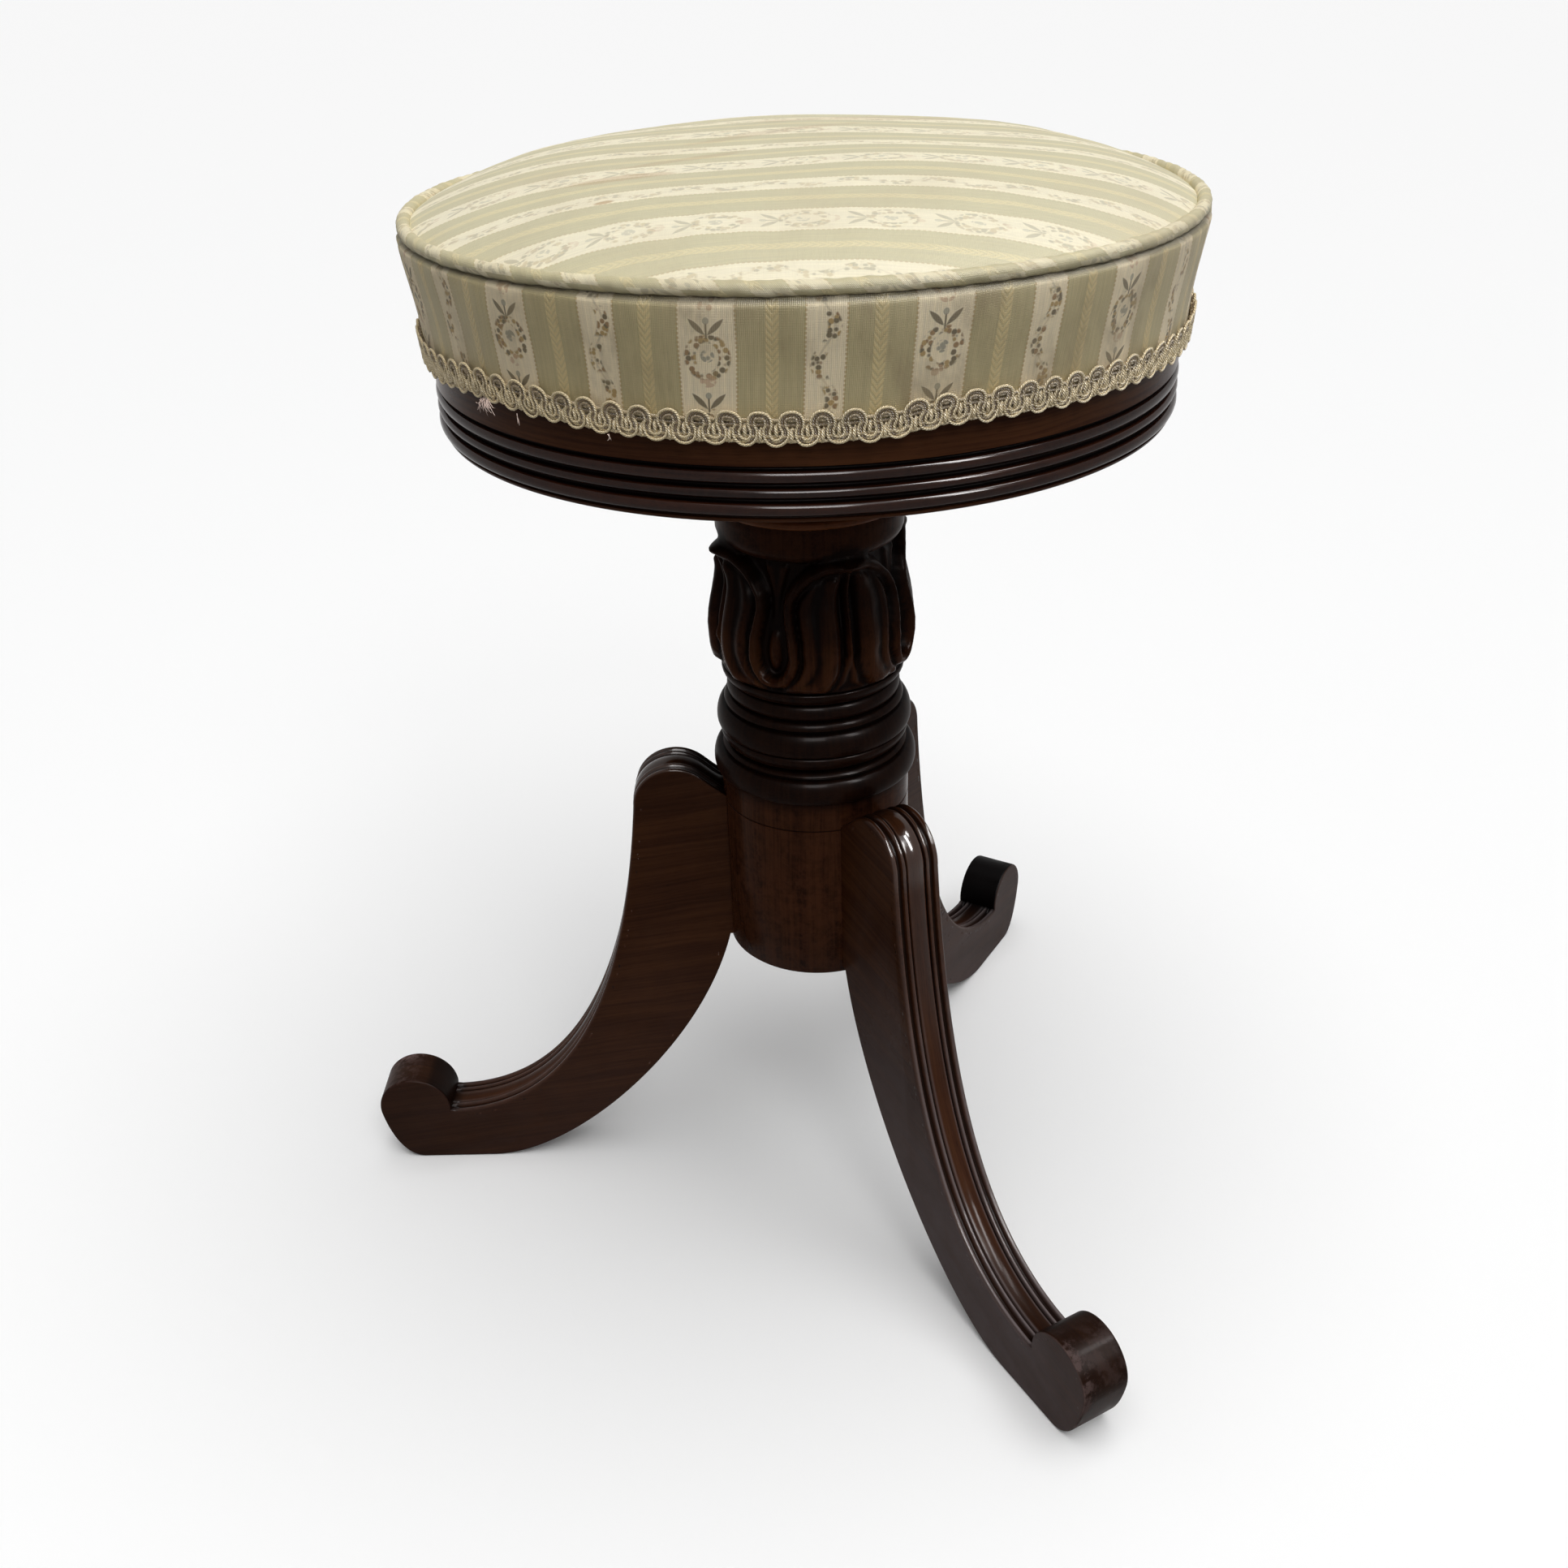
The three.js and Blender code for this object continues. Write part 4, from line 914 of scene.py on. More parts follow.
def topCover(sizes):
    # crowned cloth over the stuffing: rings from the middle out, tucked down beside the piping, and a
    # flat underside on the board
    edge = sizes["pipingRadius"] - 2.2
    radius = edge * np.concatenate([np.linspace(0, 0.9, 60), np.linspace(0.9, 1, 28)[1:]])
    angle = around(256)
    r = radius[:, None] + 0 * angle
    a = angle[None, :] + 0 * r
    x, y = r * np.cos(a), r * np.sin(a)
    z = crownHeight(r, sizes) + 0.9 * ripple(x * 0.035, y * 0.035, 11) * (1 - (r / edge) ** 6)
    # pulls of the cloth towards the piping
    pull = np.sin(a * 31 + 2.2 * np.sin(a * 3)) * np.sin(a * 13 + 1) * smoothStep(r / edge, 0.55, 0.96)
    z = z + 0.45 * pull * np.sin(math.pi * np.clip(r / edge, 0, 1)) ** 0.5
    arc = runLength(np.hypot(np.diff(radius), np.diff(crownHeight(radius, sizes))))
    stretch = sizes["borderPitch"] / sizes["topPitch"]
    clothX = x * sizes["borderRepeat"] / sizes["topRepeat"]
    clothY = np.sign(y) * np.interp(np.abs(y), radius, arc) * stretch
    middle = np.interp(115.5, radius, arc) * stretch  # of a wide stripe, at this radius
    grain = np.stack([clothX, clothY + middle], -1)
    # the sides go down inside the border to the board
    downRadius = np.array([edge - 0.9, edge - 1.6, 151.2, 150.0, 149.0, 0])
    downZ = np.array([482.6, 479, 466, 452, sizes["boardTop"], sizes["boardTop"]])
    lower = roundAxis(downRadius[:, None] + 0 * angle, angle[None, :], downZ[:, None] + 0 * angle)
    points = np.concatenate([np.stack([x, y, z], -1), lower])
    lowerGrain = np.repeat(grain[-1:], len(downZ), 0) + np.arange(len(downZ))[:, None, None] * 3
    grain = np.concatenate([grain, lowerGrain])
    grain = np.concatenate([grain, grain[:, :1]], 1)
    return gridPiece("stuffed_top", points, (False, True), grain, None, 60)


def braidFoot(angle, sizes):
    # height of the braid's lower edge, read from the table and a little uneven
    table = np.array(sizes["braidFoot"], float)
    azimuth = (np.degrees(angle) + 190) % 360 - 190
    return np.interp(azimuth, table[:, 0], table[:, 1]) + 0.2 * ripple(angle * 17, 0 * angle, 42)


def borderRadius(z, sizes):
    # from the foot to the piping by a power of the height's share, with a bell-shaped bulge
    top = sizes["pipingZ"] - 2.9
    share = np.clip((z - sizes["rimTop"]) / (top - sizes["rimTop"]), 0, 1)
    bulge = sizes["bulge"] * bell(z - sizes["rimTop"], 36, 18) * share
    return mix(sizes["footRadius"], 156.3, share**0.8) + bulge


def sideBorder(sizes):
    # a band of cloth round the seat: full below the piping, drawn in at the rim, with slack upright folds
    steps = 480
    share = np.linspace(0, 1, 40)[:, None]
    angle = around(steps)
    z = mix(braidFoot(angle, sizes)[None, :] + 2.6, 482.2, share)
    a = angle[None, :] + 0 * z
    share = share + 0 * z
    folds = 0.7 * ripple(a * 9, share * 1.2, 21) + 0.45 * ripple(a * 30, share * 1.5, 22)
    pucker = 0.3 * np.sin(a * 61 + 2 * np.sin(a * 5)) * smoothStep(share, 0.7, 1)
    tuck = smoothStep(share, 0.94, 1) * 3.4
    outer = borderRadius(z, sizes) + folds * np.sin(math.pi * share) + pucker - tuck
    points = np.concatenate([roundAxis(outer, a, z), roundAxis(outer - 1.4, a, z)[::-1]])
    turn = around(steps, 1) * sizes["clothRadius"]
    down = sizes["pipingZ"] + 4.4 - np.concatenate([z, z[::-1]])
    down = np.concatenate([down, down[:, :1]], 1)
    lean = 2.1 * np.concatenate([share[:, :1], share[::-1, :1]])
    grain = np.stack([down, turn[None, :] - stripeStart - lean + 0 * down], -1)
    grain = np.concatenate([grain, grain[:1]])
    return gridPiece("side_border_cloth", points, (True, True), grain, None, 60)


def pipingCord(sizes):
    # cord covered with the same cloth, gathered a little where it was drawn round
    steps, sides = 720, 18
    a, b = around(steps)[:, None], around(sides)[None, :]
    radius = sizes["cordRadius"] * (1 + 0.05 * np.sin(a * 140 + b) + 0.07 * ripple(a * 40, b, 31))
    r = sizes["pipingRadius"] + 0.35 * ripple(a * 5, 0 * a, 32) + radius * np.cos(b)
    z = sizes["pipingZ"] + 0.35 * ripple(a * 4, 0 * a, 33) + radius * np.sin(b)
    turn = around(steps, 1) * sizes["pipingRadius"]
    girth, turn = np.meshgrid(around(sides, 1) * sizes["cordRadius"], turn)
    grain = np.stack([girth, turn - stripeStart + girth * 0.8], -1)
    return gridPiece("piping_cord", roundAxis(r, a + 0 * b, z), (True, True), grain, None, 60)


top = topCover(seatSizes)
border = sideBorder(seatSizes)
pipingPiece = pipingCord(seatSizes)
print("upholstery shapes ready")


brocadeSizes = {
    "pitch": seatSizes["borderPitch"],
    "repeat": seatSizes["borderRepeat"],
    "wideHalf": 9.3,
    "narrowHalf": 6.5,
    "ropeAt": 20.6,
    "ropeHalf": 2.1,
    "tipBud": (1.3, 1.1, 1.2),  # place along the repeat, half width and half length
    "wreath": (13.3, 5.2, 6.3),
    "flower": (12.8, 2.3, 2.2),
    "blossom": (21.3, 2.8, 2.3),
    "vineSwing": 2.6,
    "cream": "f5eeda",
    "sage": "b9b28f",
    "rope": "ddd0a2",
    "gold": "ab8f52",
    "olive": "51431c",
    "brown": "8c6a3a",
    "blue": "8b8c84",
    "rose": "cbab90",
    # the pale wash of the painted sheen
    "sheenPale": "e4dec3",
}


def makeBrocadeGroup(sizes):
    # stripes across the cloth; sprays, wreaths and a vine along them; ropes between; a fine rib all over
    outputs = {"Color": "Color", "Height": "Float", "Satin": "Float"}
    tree, given, result = newGroup("stripeBrocade", {"Cloth": "Vector", "Fade": "Float"}, outputs)
    weave, paintedSheen = given["Cloth"], given["Fade"]
    along, across, _ = splitVector(tree, weave)
    along = along * 1000
    across = across * 1000 + noiseField(tree, weave, 28, 2).spread(-0.7, 0.7)
    wide = across.folded(sizes["pitch"])
    side = wide.size()
    vine = across.folded(sizes["pitch"], 0.5)
    a = along.folded(sizes["repeat"]) + sizes["repeat"] / 2  # 0 at the tips of the leaves

    def within(distance, half, soft):
        # 1 where the distance is under half, 0 beyond it
        return distance.rise(half + soft, half - soft)

    def oval(key):
        # the squared distance from a motif's middle, 1 at its edge
        middle, half, length = sizes[key]
        return (wide / half) ** 2 + ((a - middle) / length) ** 2

    isWide = within(side, sizes["wideHalf"], 0.15)
    isNarrow = within(vine.size(), sizes["narrowHalf"], 0.15)
    cream = most(isWide, isNarrow)
    threads = noiseField(tree, weave, (30, 2600, 1), 2)
    picks = noiseField(tree, weave, (2200, 60, 1), 2)
    streaks = noiseField(tree, weave, (45, 950, 1), 3, 0.6).rise(0.3, 0.7)
    shade = (threads * 0.6 + picks * 0.4).spread(0.84, 1.16) * streaks.spread(0.92, 1.07)
    cloth = blendColor(tree, cream, sizes["sage"], sizes["cream"])
    cloth = blendColor(tree, 1.0, cloth, joinVector(tree, shade, shade, shade), "MULTIPLY")

    # rope of slanting strokes, and the dotted edge of each cream stripe
    offset = (side - sizes["ropeAt"]).size()
    strokes = (along + offset * 1.3).folded(2.5).size().rise(0.9, 0.5)
    rope = within(offset, sizes["ropeHalf"], 0.2)
    edge = (side - sizes["wideHalf"]).size().op("MINIMUM", (vine.size() - sizes["narrowHalf"]).size())
    dots = edge.rise(0.55, 0.25) * along.folded(1.5).size().rise(0.55, 0.3)
    ropes = rope * strokes.spread(0.4, 0.85)
    cloth = layered(tree, cloth, (ropes, sizes["rope"]), (dots * 0.6, sizes["gold"]))

    # small blobs for buds and leaflets
    blobs = tree.nodes.new("ShaderNodeTexVoronoi")
    feed(tree, blobs.inputs["Scale"], 560)
    feed(tree, blobs.inputs["Vector"], weave)
    spots = Field(tree, blobs.outputs["Distance"]).rise(0.7, 0.42)
    pick = splitVector(tree, blobs.outputs["Color"])

    # spray: two pointed leaves, a stem and a bud
    lean = (side - 3.0) * 0.7 - (a - 3.2) * 0.714
    broad = (side - 3.0) * 0.714 + (a - 3.2) * 0.7
    leaves = ((lean / 3.9) ** 2 + (broad / 1.05).size()).rise(1.1, 0.7)
    stem = side.rise(0.45, 0.2) * a.rise(1.8, 2.4) * a.rise(7.4, 6.8)
    tipBud = oval("tipBud").rise(1.1, 0.7)
    # wreath, flower in its middle and blossom below
    wreath = ((oval("wreath") ** 0.5 - 1).size() - side * 0.035).rise(0.24, 0.1) * spots
    flower = oval("flower").rise(1.1, 0.8) * spots
    blossom = oval("blossom").rise(1.1, 0.8) * spots
    # vine in the narrow stripe
    turns = along.wave(sizes["repeat"], -2.42)
    bend = (vine - turns * sizes["vineSwing"]).size()
    leaflets = bend.rise(2.7, 1.8) * spots * turns.size().rise(0.15, 0.5)
    runner = bend.rise(0.6, 0.25) * 0.3

    mixed = blendColor(tree, pick[0].rise(0.45, 0.55), sizes["gold"], sizes["olive"])
    mixed = blendColor(tree, pick[1].rise(0.7, 0.75), mixed, sizes["brown"])
    # the fade pales motifs and cloth as a painted sheen on the lit top and piping
    kept = paintedSheen * -1.2 + 1
    cloth = layered(
        tree, cloth,
        (wreath * isWide * kept, mixed),
        (most(leaflets, runner) * isNarrow * kept, mixed),
        (flower * isWide * 0.9 * kept, sizes["blue"]),
        (blossom * isWide * 0.8 * kept, sizes["rose"]),
        (most(leaves, stem) * isWide * 0.95 * kept, sizes["olive"]),
        (tipBud * isWide * 0.8 * kept, sizes["blue"]),
        (paintedSheen, sizes["sheenPale"]),
    )
    feed(tree, result["Color"], cloth)
    rib = across.wave(0.62) * 0.5 + along.wave(0.5) * 0.3
    raised = most(rope * strokes, wreath * isWide, leaves * isWide, leaflets * isNarrow) * 1.5
    feed(tree, result["Height"], rib + raised + threads * 0.6)
    feed(tree, result["Satin"], cream.spread(0.52, 0.66) + threads * 0.08)
    return tree


def makeBrocade(name, group, paintedSheen, stains, paintedLightTint, grime):
    # the cloth with its soiling: grey-brown clouds and stains; a painted shadow under the piping; the fade
    # is a painted sheen that pales the pattern, and the tint a painted light that warms the border
    material, tree, shader = newMaterial(
        name, Specular_IOR_Level=0.25, Sheen_Weight=0.18, Sheen_Roughness=0.5, Sheen_Tint=(1, 0.97, 0.88, 1)
    )
    outputs = placeGroup(tree, group, Cloth=pieceCoordinates(tree, "grain"), Fade=paintedSheen)
    place = pieceCoordinates(tree)
    x, y, level = splitVector(tree, place)
    soil = noiseField(tree, place, 16, 4, 0.6).rise(0.45, 0.75)
    smudges = noiseField(tree, scaled(tree, place, (1, 1, 0.5)), 55, 4, 0.65).rise(0.45, 0.7)
    pipingShadow = level.rise(0.4790, 0.4808) * level.rise(0.4826, 0.4812)  # painted shadow under the piping
    # the tint is painted light: warmer on the border, whiter on the lit top
    cloth = blendColor(tree, 1.0, outputs["Color"], paintedLightTint, "MULTIPLY")
    layers = [(soil * 0.25, "bda988"), (smudges * grime, "94815c"), (pipingShadow * 0.75, "3d3922")]
    for atX, atY, long, broad, turn, strength in stains:
        # an ellipse with a ragged edge, in the part's frame
        ragged = noiseField(tree, place, 70, 3, 0.6).spread(-0.45, 0.45)
        first, second = turnedBy(x - atX, y - atY, -math.radians(turn))
        spot = (((first / long) ** 2 + (second / broad) ** 2) ** 0.5 + ragged).rise(1.0, 0.55)
        layers.append((spot * strength, "b08a58"))
    feed(tree, shader["Base Color"], layered(tree, cloth, *layers))
    feed(tree, shader["Roughness"], outputs["Satin"])
    addBump(tree, shader["Normal"], outputs["Height"], 0.35, 0.0003)
    return material


brocadeGroup = makeBrocadeGroup(brocadeSizes)
topStains = [  # x, y, half length, half width, turn in degrees, strength
    (axisX - 0.066, -0.058, 0.024, 0.005, 4, 0.4),
    (axisX - 0.045, -0.035, 0.032, 0.004, 22, 0.28),
    (axisX - 0.012, 0.012, 0.05, 0.005, 30, 0.25),
    (axisX + 0.028, 0.05, 0.06, 0.008, 12, 0.2),
    (axisX - 0.068, -0.087, 0.004, 0.002, 0, 0.7),
]
# the fade and the tint paint sheen and light: the top and piping paler, the border warmer
topCloth = makeBrocade("topBrocade", brocadeGroup, 0.38, topStains, "fffdf6", 0.03)
sideCloth = makeBrocade("sideBrocade", brocadeGroup, 0.05, [], "fff4e0", 0.5)
cordCloth = makeBrocade("cordBrocade", brocadeGroup, 0.38, [], "f4efe0", 0.1)
for piece, cloth, nodes in (
    (top, topCloth, ("top_cover", "seat_stuffing")),
    (border, sideCloth, ("side_border",)),
    (pipingPiece, cordCloth, ("piping",)),
):
    piece.data.materials.append(cloth)
    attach(piece, "seat")
    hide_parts(*nodes)
print("brocade ready")


gimpSizes = {
    "height": 12.4,
    "radius": 153.5,  # of the circle that it is laid round
    "loops": 94,
    "strandRadius": 0.5,
    "strandGap": 1.0,
    "lean": 0.35,  # how far a loop is wider than its neck
    "clear": 1.0,  # of the braid's middle in front of the border
    "cores": [(-4.5, 0.9), (-2.9, 0.5), (-1.0, 0.1), (0.9, 0.2), (2.7, 0.5)],  # height in the braid, tone: darker in the middle as painted shade inside the loops
    "coreRadius": 0.6,
    "stitch": [(0, 0.1), (0.2, 0.75), (0.5, 0.85), (0.8, 0.75), (1, 0.1), (0.5, -1.0)],  # share up, depth
    "stitchRadius": 0.66,
}


def meander(offset, sizes, samples):
    # the middle line of a braid of upright loops, each end half a circle, shifted sideways by offset
    pitch = 2 * math.pi * sizes["radius"] / sizes["loops"]
    bend = pitch / 4
    straight = sizes["height"] / 2 - bend - sizes["strandGap"] - sizes["strandRadius"]
    turn = np.linspace(0, math.pi, samples)
    up = np.stack([bend * -np.cos(turn), straight + bend * np.sin(turn)], -1)
    down = np.stack([2 * bend + bend * -np.cos(turn), -straight - bend * np.sin(turn)], -1)
    side = np.linspace(1, -1, 7)[1:-1, None] * [0, straight]
    cell = np.concatenate([up, side + [bend, 0], down, side[::-1] + [3 * bend, 0]])
    cell[:, 0] += sizes["lean"] * np.sin(2 * math.pi * cell[:, 0] / pitch) * np.sign(cell[:, 1])
    start = np.arange(sizes["loops"])[:, None, None] * np.array([pitch, 0])
    line = (cell[None] + start).reshape(-1, 2)
    # hand-laid: loops a little taller or leaning, none at the join
    loose = np.clip(4 * np.sin(line[:, 0] / sizes["radius"] / 2), 0, 1)
    line[:, 1] *= 1 + 0.08 * loose * ripple(line[:, 0] * 0.5, line[:, 1] * 0.1, 51)
    line[:, 0] += 0.35 * loose * ripple(line[:, 0] * 0.4, line[:, 1] * 0.25, 52)
    along = np.roll(line, -1, 0) - np.roll(line, 1, 0)
    along[0], along[-1] = along[1], along[-2]
    along = unit(along)
    return line[:, 0] - along[:, 1] * offset, line[:, 1] + along[:, 0] * offset


def cordTube(name, s, z, depth, radius, sides, tone, sizes):
    # a closed tube about the seat along arc length, height and depth, with its silk's tone
    angle = s / sizes["radius"]
    path = roundAxis(borderRadius(z, seatSizes) + sizes["clear"] + depth, angle, z)
    along = unit(np.roll(path, -1, 0) - np.roll(path, 1, 0))
    sideways = unit(np.cross(along, roundAxis(np.ones_like(angle), angle, 0)))
    out = np.cross(sideways, along)
    b = around(sides)[None, :, None]
    points = path[:, None, :] + radius * (out[:, None, :] * np.cos(b) + sideways[:, None, :] * np.sin(b))
    run = runLength(np.linalg.norm(np.roll(path, -1, 0) - path, axis=1))
    girth, run = np.meshgrid(around(sides, 1) * radius, run)
    tone = np.reshape(tone, (-1, 1)) + 0 * points[..., 0]
    return gridPiece(name, points, (True, True), np.stack([run, girth], -1), {"tone": tone}, 80)


def gimpBraid(sizes):
    # three strands side by side in upright loops, over straight threads that hold them together; the middle
    # strand is dark as painted shade between the pale ones, and one outer strand is dark inside the upper
    # loops as painted shade there
    def lifted(s, level):
        # from the braid's middle line to the floor's level
        return braidFoot(s / sizes["radius"], seatSizes) + sizes["height"] / 2 + level

    pieces = []
    for k, (offset, depth, tone) in enumerate(((-1, 0.8, 1.0), (0, 0.25, 0.1), (1, 0.8, 1.0))):
        s, z = meander(offset * sizes["strandGap"], sizes, 9)
        # painted shade inside the upper loops
        if k == 0:
            tone = mix(1, 0.25, smoothStep(z, 0.5, 2.5))
        pieces.append(cordTube(f"strand{k}", s, lifted(s, z), depth, sizes["strandRadius"], 6, tone, sizes))
    pitch = 2 * math.pi * sizes["radius"] / sizes["loops"]
    s = np.arange(sizes["loops"] * 8) / 8 * pitch
    for k, (level, tone) in enumerate(sizes["cores"]):
        over = 0.1 + 0.35 * np.cos(2 * math.pi * s / pitch * 2 + k * math.pi)
        pieces.append(cordTube(f"core{k}", s, lifted(s, level), over, sizes["coreRadius"], 6, tone, sizes))
    # a thick pale thread comes up in every loop's lower half and goes behind to the next
    share, depth = np.array(sizes["stitch"], float).T
    count = np.arange(sizes["loops"] * 2)
    s = (count[:, None] * pitch / 2 + np.array([0, 0, 0, 0, 0, pitch / 4])).ravel()
    level = (np.where(count % 2 == 0, -5.0, -3.4)[:, None] + share * 4.9).ravel()
    shifted = s + 0.25 * ripple(s * 0.6, level, 53)
    depth = np.tile(depth, len(count))
    z = lifted(s, level)
    pieces.append(cordTube("stitches", shifted, z, depth, sizes["stitchRadius"], 8, 1.0, sizes))
    return joinPieces("scroll_gimp", pieces)


def makeGimpMaterial(name, pale, shadow):
    # twisted silk: the crests that wind round each cord painted light and the valleys painted dark, as
    # painted highlight and painted shade of the twist, with soiling between
    material, tree, shader = newMaterial(name, Specular_IOR_Level=0.5, Sheen_Weight=0.15, Roughness=0.5)
    along, girth, _ = splitVector(tree, pieceCoordinates(tree, "grain"))
    twist = (along * 1000 + girth * 900).wave(0.95)
    darkening = noiseField(tree, pieceCoordinates(tree), 90, 3, 0.6).rise(0.42, 0.75)
    tone = pointValue(tree, "tone")
    light = blendColor(tree, tone, "7c6038", pale)
    dark = blendColor(tree, tone, "3c2a17", shadow)
    # the twist mixes painted shade in the valleys with painted highlight on the crests
    silk = layered(tree, dark, (twist.spread(0.7, 1.0), light), (darkening * 0.3, "7c6c48"))
    feed(tree, shader["Base Color"], silk)
    addBump(tree, shader["Normal"], twist, 0.6, 0.0003)
    return material


gimpSilk = makeGimpMaterial("gimpSilk", "ffecbc", "b08c54")
frayedSilk = makeGimpMaterial("frayedSilk", "f8e0d4", "b48c7c")
gimp = gimpBraid(gimpSizes)
gimp.data.materials.append(gimpSilk)
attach(gimp, "seat")
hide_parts("gimp_braid")

frayedSizes = {
    "places": [  # azimuth, height, threads, length, how far they spread
        (-136.2, 438.4, 18, 6.0, 1.0), (-130.0, 436.2, 2, 4.6, 0.2), (-115.1, 434.9, 2, 4.2, 0.25),
    ],
    "radius": 0.16,
}


def frayedThreads(sizes):
    # loose ends: each runs down and outwards from the braid along a curl that its own draws shape
    draw = np.random.default_rng(7)
    t = np.linspace(0, 1, 12)[:, None]
    b = around(6)[None, :]
    pieces = []
    for azimuth, level, count, length, spread in sizes["places"]:
        for k in range(count):
            turn = math.radians(azimuth) + draw.uniform(-1, 1) * spread * 0.012
            side, drop, out, curl, phase = draw.uniform((-1, 0.3, 0.2, 0.3, 0), (1, 1.0, 0.8, 1.1, 6.28))
            a = turn + (side * spread * length * t + curl * np.sin(4 * t + phase) * t) / 156
            z = level - drop * length * t + curl * np.cos(5 * t + phase) * t
            r = 156.2 + spread * out * length * 0.5 * np.sin(2.4 * t)
            thin = sizes["radius"] * np.sqrt(np.clip(4 * t * (1 - t), 0, 1))
            ring = roundAxis(r + thin * np.cos(b), a + thin * np.sin(b) / 156, z)
            name = f"loose{len(pieces)}"
            pieces.append(gridPiece(name, ring, (False, True), None, {"tone": 1 + 0 * ring[..., 0]}, 80))
    return joinPieces("frayed_threads", pieces)


frayed = frayedThreads(frayedSizes)
frayed.data.materials.append(frayedSilk)
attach(frayed, "seat")
print("gimp ready")


metalLook = {  # colour, metallic, roughness, rust's colour and how high its noise has to be
    "oiledSteel": ("57544f", 1.0, 0.36, "3f3226", 0.58),
    "darkIron": ("35322f", 0.9, 0.5, "3d271b", 0.5),
    "agedBrass": ("8f7440", 1.0, 0.38, "4e4127", 0.55),
}


def makeMetal(name):
    # plain metal with rust where a noise rises over its start
    base, metallic, roughness, rust, start = metalLook[name]
    material, tree, shader = newMaterial(name, Metallic=metallic)
    place = pieceCoordinates(tree)
    spots = noiseField(tree, place, 220, 4, 0.65).rise(start, start + 0.2)
    feed(tree, shader["Base Color"], blendColor(tree, spots, base, rust))
    feed(tree, shader["Roughness"], noiseField(tree, place, 500, 3).spread(roughness - 0.1, roughness + 0.2))
    addBump(tree, shader["Normal"], noiseField(tree, place, 900, 3), 0.25, 0.0003)
    return material


def makeBeech():
    # pale wood with long fibres and dark flecks along X
    material, tree, shader = newMaterial("sawnBeech", Specular_IOR_Level=0.3)
    place = pieceCoordinates(tree)
    fibres = noiseField(tree, place, (14, 400, 200), 4, 0.6)
    flecks = noiseField(tree, place, (120, 1400, 1400), 2).rise(0.58, 0.7)
    tone = blendColor(tree, fibres.rise(0.3, 0.7), "7d5a36", "a9825a")
    feed(tree, shader["Base Color"], blendColor(tree, flecks * 0.5, tone, "54371e"))
    feed(tree, shader["Roughness"], fibres.spread(0.65, 0.85))
    addBump(tree, shader["Normal"], fibres, 0.3, 0.0005)
    return material


steel, iron, brass = (makeMetal(name) for name in metalLook)
finishes = (  # the starts of node names, the first that fits
    (("nut_screw", "plate_screw", "board_screw", "base_plate_screw", "stop_screw", "seat_screw"), steel),
    (("base_plate", "stop_washer", "screw_plate"), iron),
    ("screw_nut", brass),
    ("seat_board", makeBeech()),
)
for nodeName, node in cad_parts.items():
    finish = next((material for starts, material in finishes if nodeName.startswith(starts)), None)
    if finish:
        node.data.materials.clear()
        node.data.materials.append(finish)

screwSizes = {"radius": 12.5, "rootRadius": 10.6, "pitch": 8, "low": 224, "high": 412.7, "flank": 0.16}


def threadedScrew(sizes):
    # square thread: height over pitch less the share of a turn, folded to one thread, gives the ridge
    height = np.arange(sizes["low"], sizes["high"], 0.5)
    angle = around(96)
    z = height[:, None] + 0 * angle
    lead = (z / sizes["pitch"] - angle[None, :] / (2 * math.pi)) % 1
    ridge = smoothStep(np.abs(lead - 0.5), 0.25 + sizes["flank"] / 2, 0.25 - sizes["flank"] / 2)
    ridge = ridge * plateau(z, sizes["low"], sizes["low"] + 3, sizes["high"] - 6, sizes["high"])
    body = roundAxis(mix(sizes["rootRadius"], sizes["radius"], ridge), angle[None, :], z)

    def rings(*ends):
        return [roundAxis(radius + 0 * angle, angle, level + 0 * angle)[None] for radius, level in ends]

    foot, head = rings((0, 219.4), (5.5, 219.4), (5.5, 224)), rings((9, 412.9), (9, 418), (0, 418))
    return gridPiece("threaded_screw", np.concatenate([*foot, body, *head]), (False, True), None, None, 50)


screw = threadedScrew(screwSizes)
screw.data.materials.append(steel)
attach(screw, "seat")
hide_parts("seat_screw")
print("metal ready")


stageLook = {
    "floorLight": 0.2,  # grey of the floor as it lights the stool, and as it is seen
    "floorSeen": 0.94,
    "floorGlow": 0.04,
    "worldLight": 0.255,
    "worldSeen": 0.95,
    "cameraTurn": (1.252, 29.619, -2.021),  # yaw, pitch down and roll, in degrees, fitted to the photograph
    "cameraPlace": (-0.0002, -0.68, 0.6041),  # from the column's foot
    "focalPixels": 2029.5,
    "photoPixels": 1932,
}


def seenDirectly(tree):
    # 1 for camera, glossy and transmission rays
    rays = tree.nodes.new("ShaderNodeLightPath").outputs
    kinds = (Field(tree, rays[f"Is {kind} Ray"]) for kind in ("Camera", "Glossy", "Transmission"))
    camera, glossy, through = kinds
    return (camera + glossy + through).op("MINIMUM", 1)


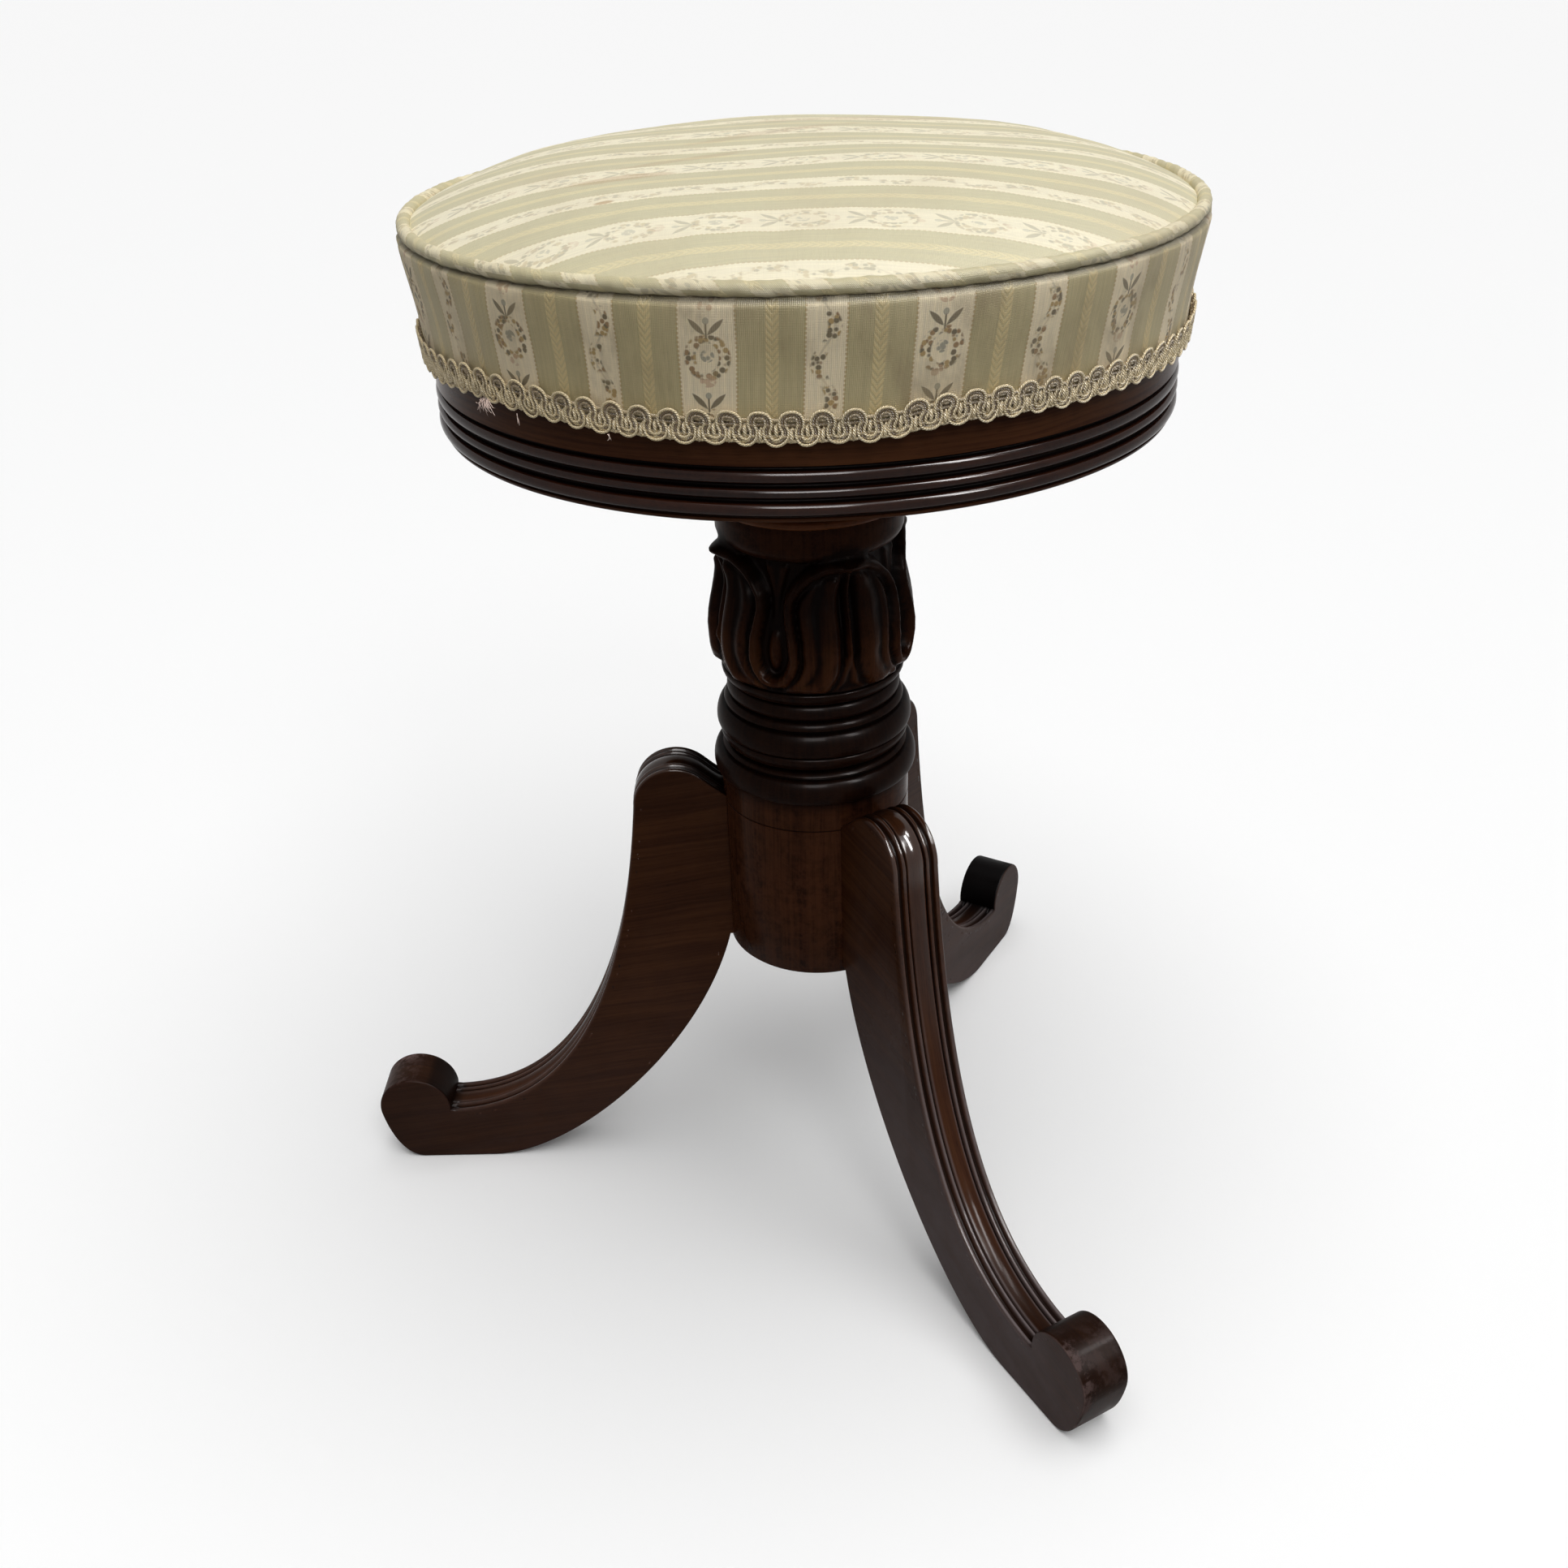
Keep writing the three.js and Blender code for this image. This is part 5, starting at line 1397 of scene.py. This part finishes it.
def makeBackdrop(look):
    # the floor and the world look pale to the camera and in reflections, and light the stool less
    mesh = bpy.data.meshes.new("floor")
    mesh.from_pydata([(-12, -12, 0), (12, -12, 0), (12, 12, 0), (-12, 12, 0)], [], [(0, 1, 2, 3)])
    floor = bpy.data.objects.new("floor", mesh)
    bpy.context.scene.collection.objects.link(floor)
    material, tree, shader = newMaterial(
        "paleFloor", Roughness=0.9, Specular_IOR_Level=0.0, Emission_Color=(1, 1, 1, 1)
    )
    seen = seenDirectly(tree)
    greys = [(look[key],) * 3 + (1,) for key in ("floorLight", "floorSeen")]
    feed(tree, shader["Base Color"], blendColor(tree, seen, *greys))
    feed(tree, shader["Emission Strength"], seen * look["floorGlow"])
    mesh.materials.append(material)
    world = bpy.data.worlds.new("studio")
    bpy.context.scene.world = world
    world.use_nodes = True
    tree = world.node_tree
    room = tree.nodes["Background"]
    feed(tree, room.inputs["Color"], (1, 1, 1, 1))
    feed(tree, room.inputs["Strength"], seenDirectly(tree).spread(look["worldLight"], look["worldSeen"]))


def addLamp(name, kind, energy, place, target, **settings):
    # a lamp that looks from its place to the target
    lamp = bpy.data.lights.new(name, kind)
    lamp.energy = energy
    for key, value in settings.items():
        setattr(lamp, key, value)
    holder = bpy.data.objects.new(name, lamp)
    bpy.context.scene.collection.objects.link(holder)
    holder.location = place
    holder.rotation_euler = (Vector(target) - Vector(place)).to_track_quat("-Z", "Y").to_euler()
    return holder


def addCamera(look):
    # the photograph's own viewpoint: turned by roll, then tilted up from straight down, then by yaw
    yaw, pitch, roll = (math.radians(v) for v in look["cameraTurn"])
    camera = bpy.data.cameras.new("camera")
    camera.sensor_width = 36
    camera.lens = camera.sensor_width * look["focalPixels"] / look["photoPixels"]
    holder = bpy.data.objects.new("camera", camera)
    bpy.context.scene.collection.objects.link(holder)
    pose = Matrix.Translation(Vector(look["cameraPlace"]) + Vector((axisX, 0, 0)))
    for angle, axis in ((yaw, "Z"), (math.pi / 2 - pitch, "X"), (roll, "Z")):
        pose = pose @ Matrix.Rotation(angle, 4, axis)
    holder.matrix_world = pose
    bpy.context.scene.camera = holder


makeBackdrop(stageLook)
seatMiddle = (axisX, 0, 0.35)
addLamp("overhead", "SUN", 2.23, (0.35, -0.4, 2.6), (0, 0, 0), angle=math.radians(60))
addLamp("front", "AREA", 6, (0.6, -1.5, 1.9), seatMiddle, size=0.6)
for name, energy, place, target, size, height in (  # these show only as highlights on the polish
    ("glint", 140, (1.25, -1.05, 1.8), seatMiddle, 0.4, 1.5),
    ("glintFront", 95, (axisX, -1.9, 1.7), seatMiddle, 0.9, 1.1),
    ("glintHigh", 60, (1.1, -0.15, 2.3), (0.14, -0.17, 0.05), 0.4, 1.1),
):
    lamp = addLamp(name, "AREA", energy, place, target, shape="RECTANGLE", size=size, size_y=height)
    lamp.visible_diffuse = False
addCamera(stageLook)
bpy.context.scene.view_settings.view_transform = "Standard"
print("stage ready")
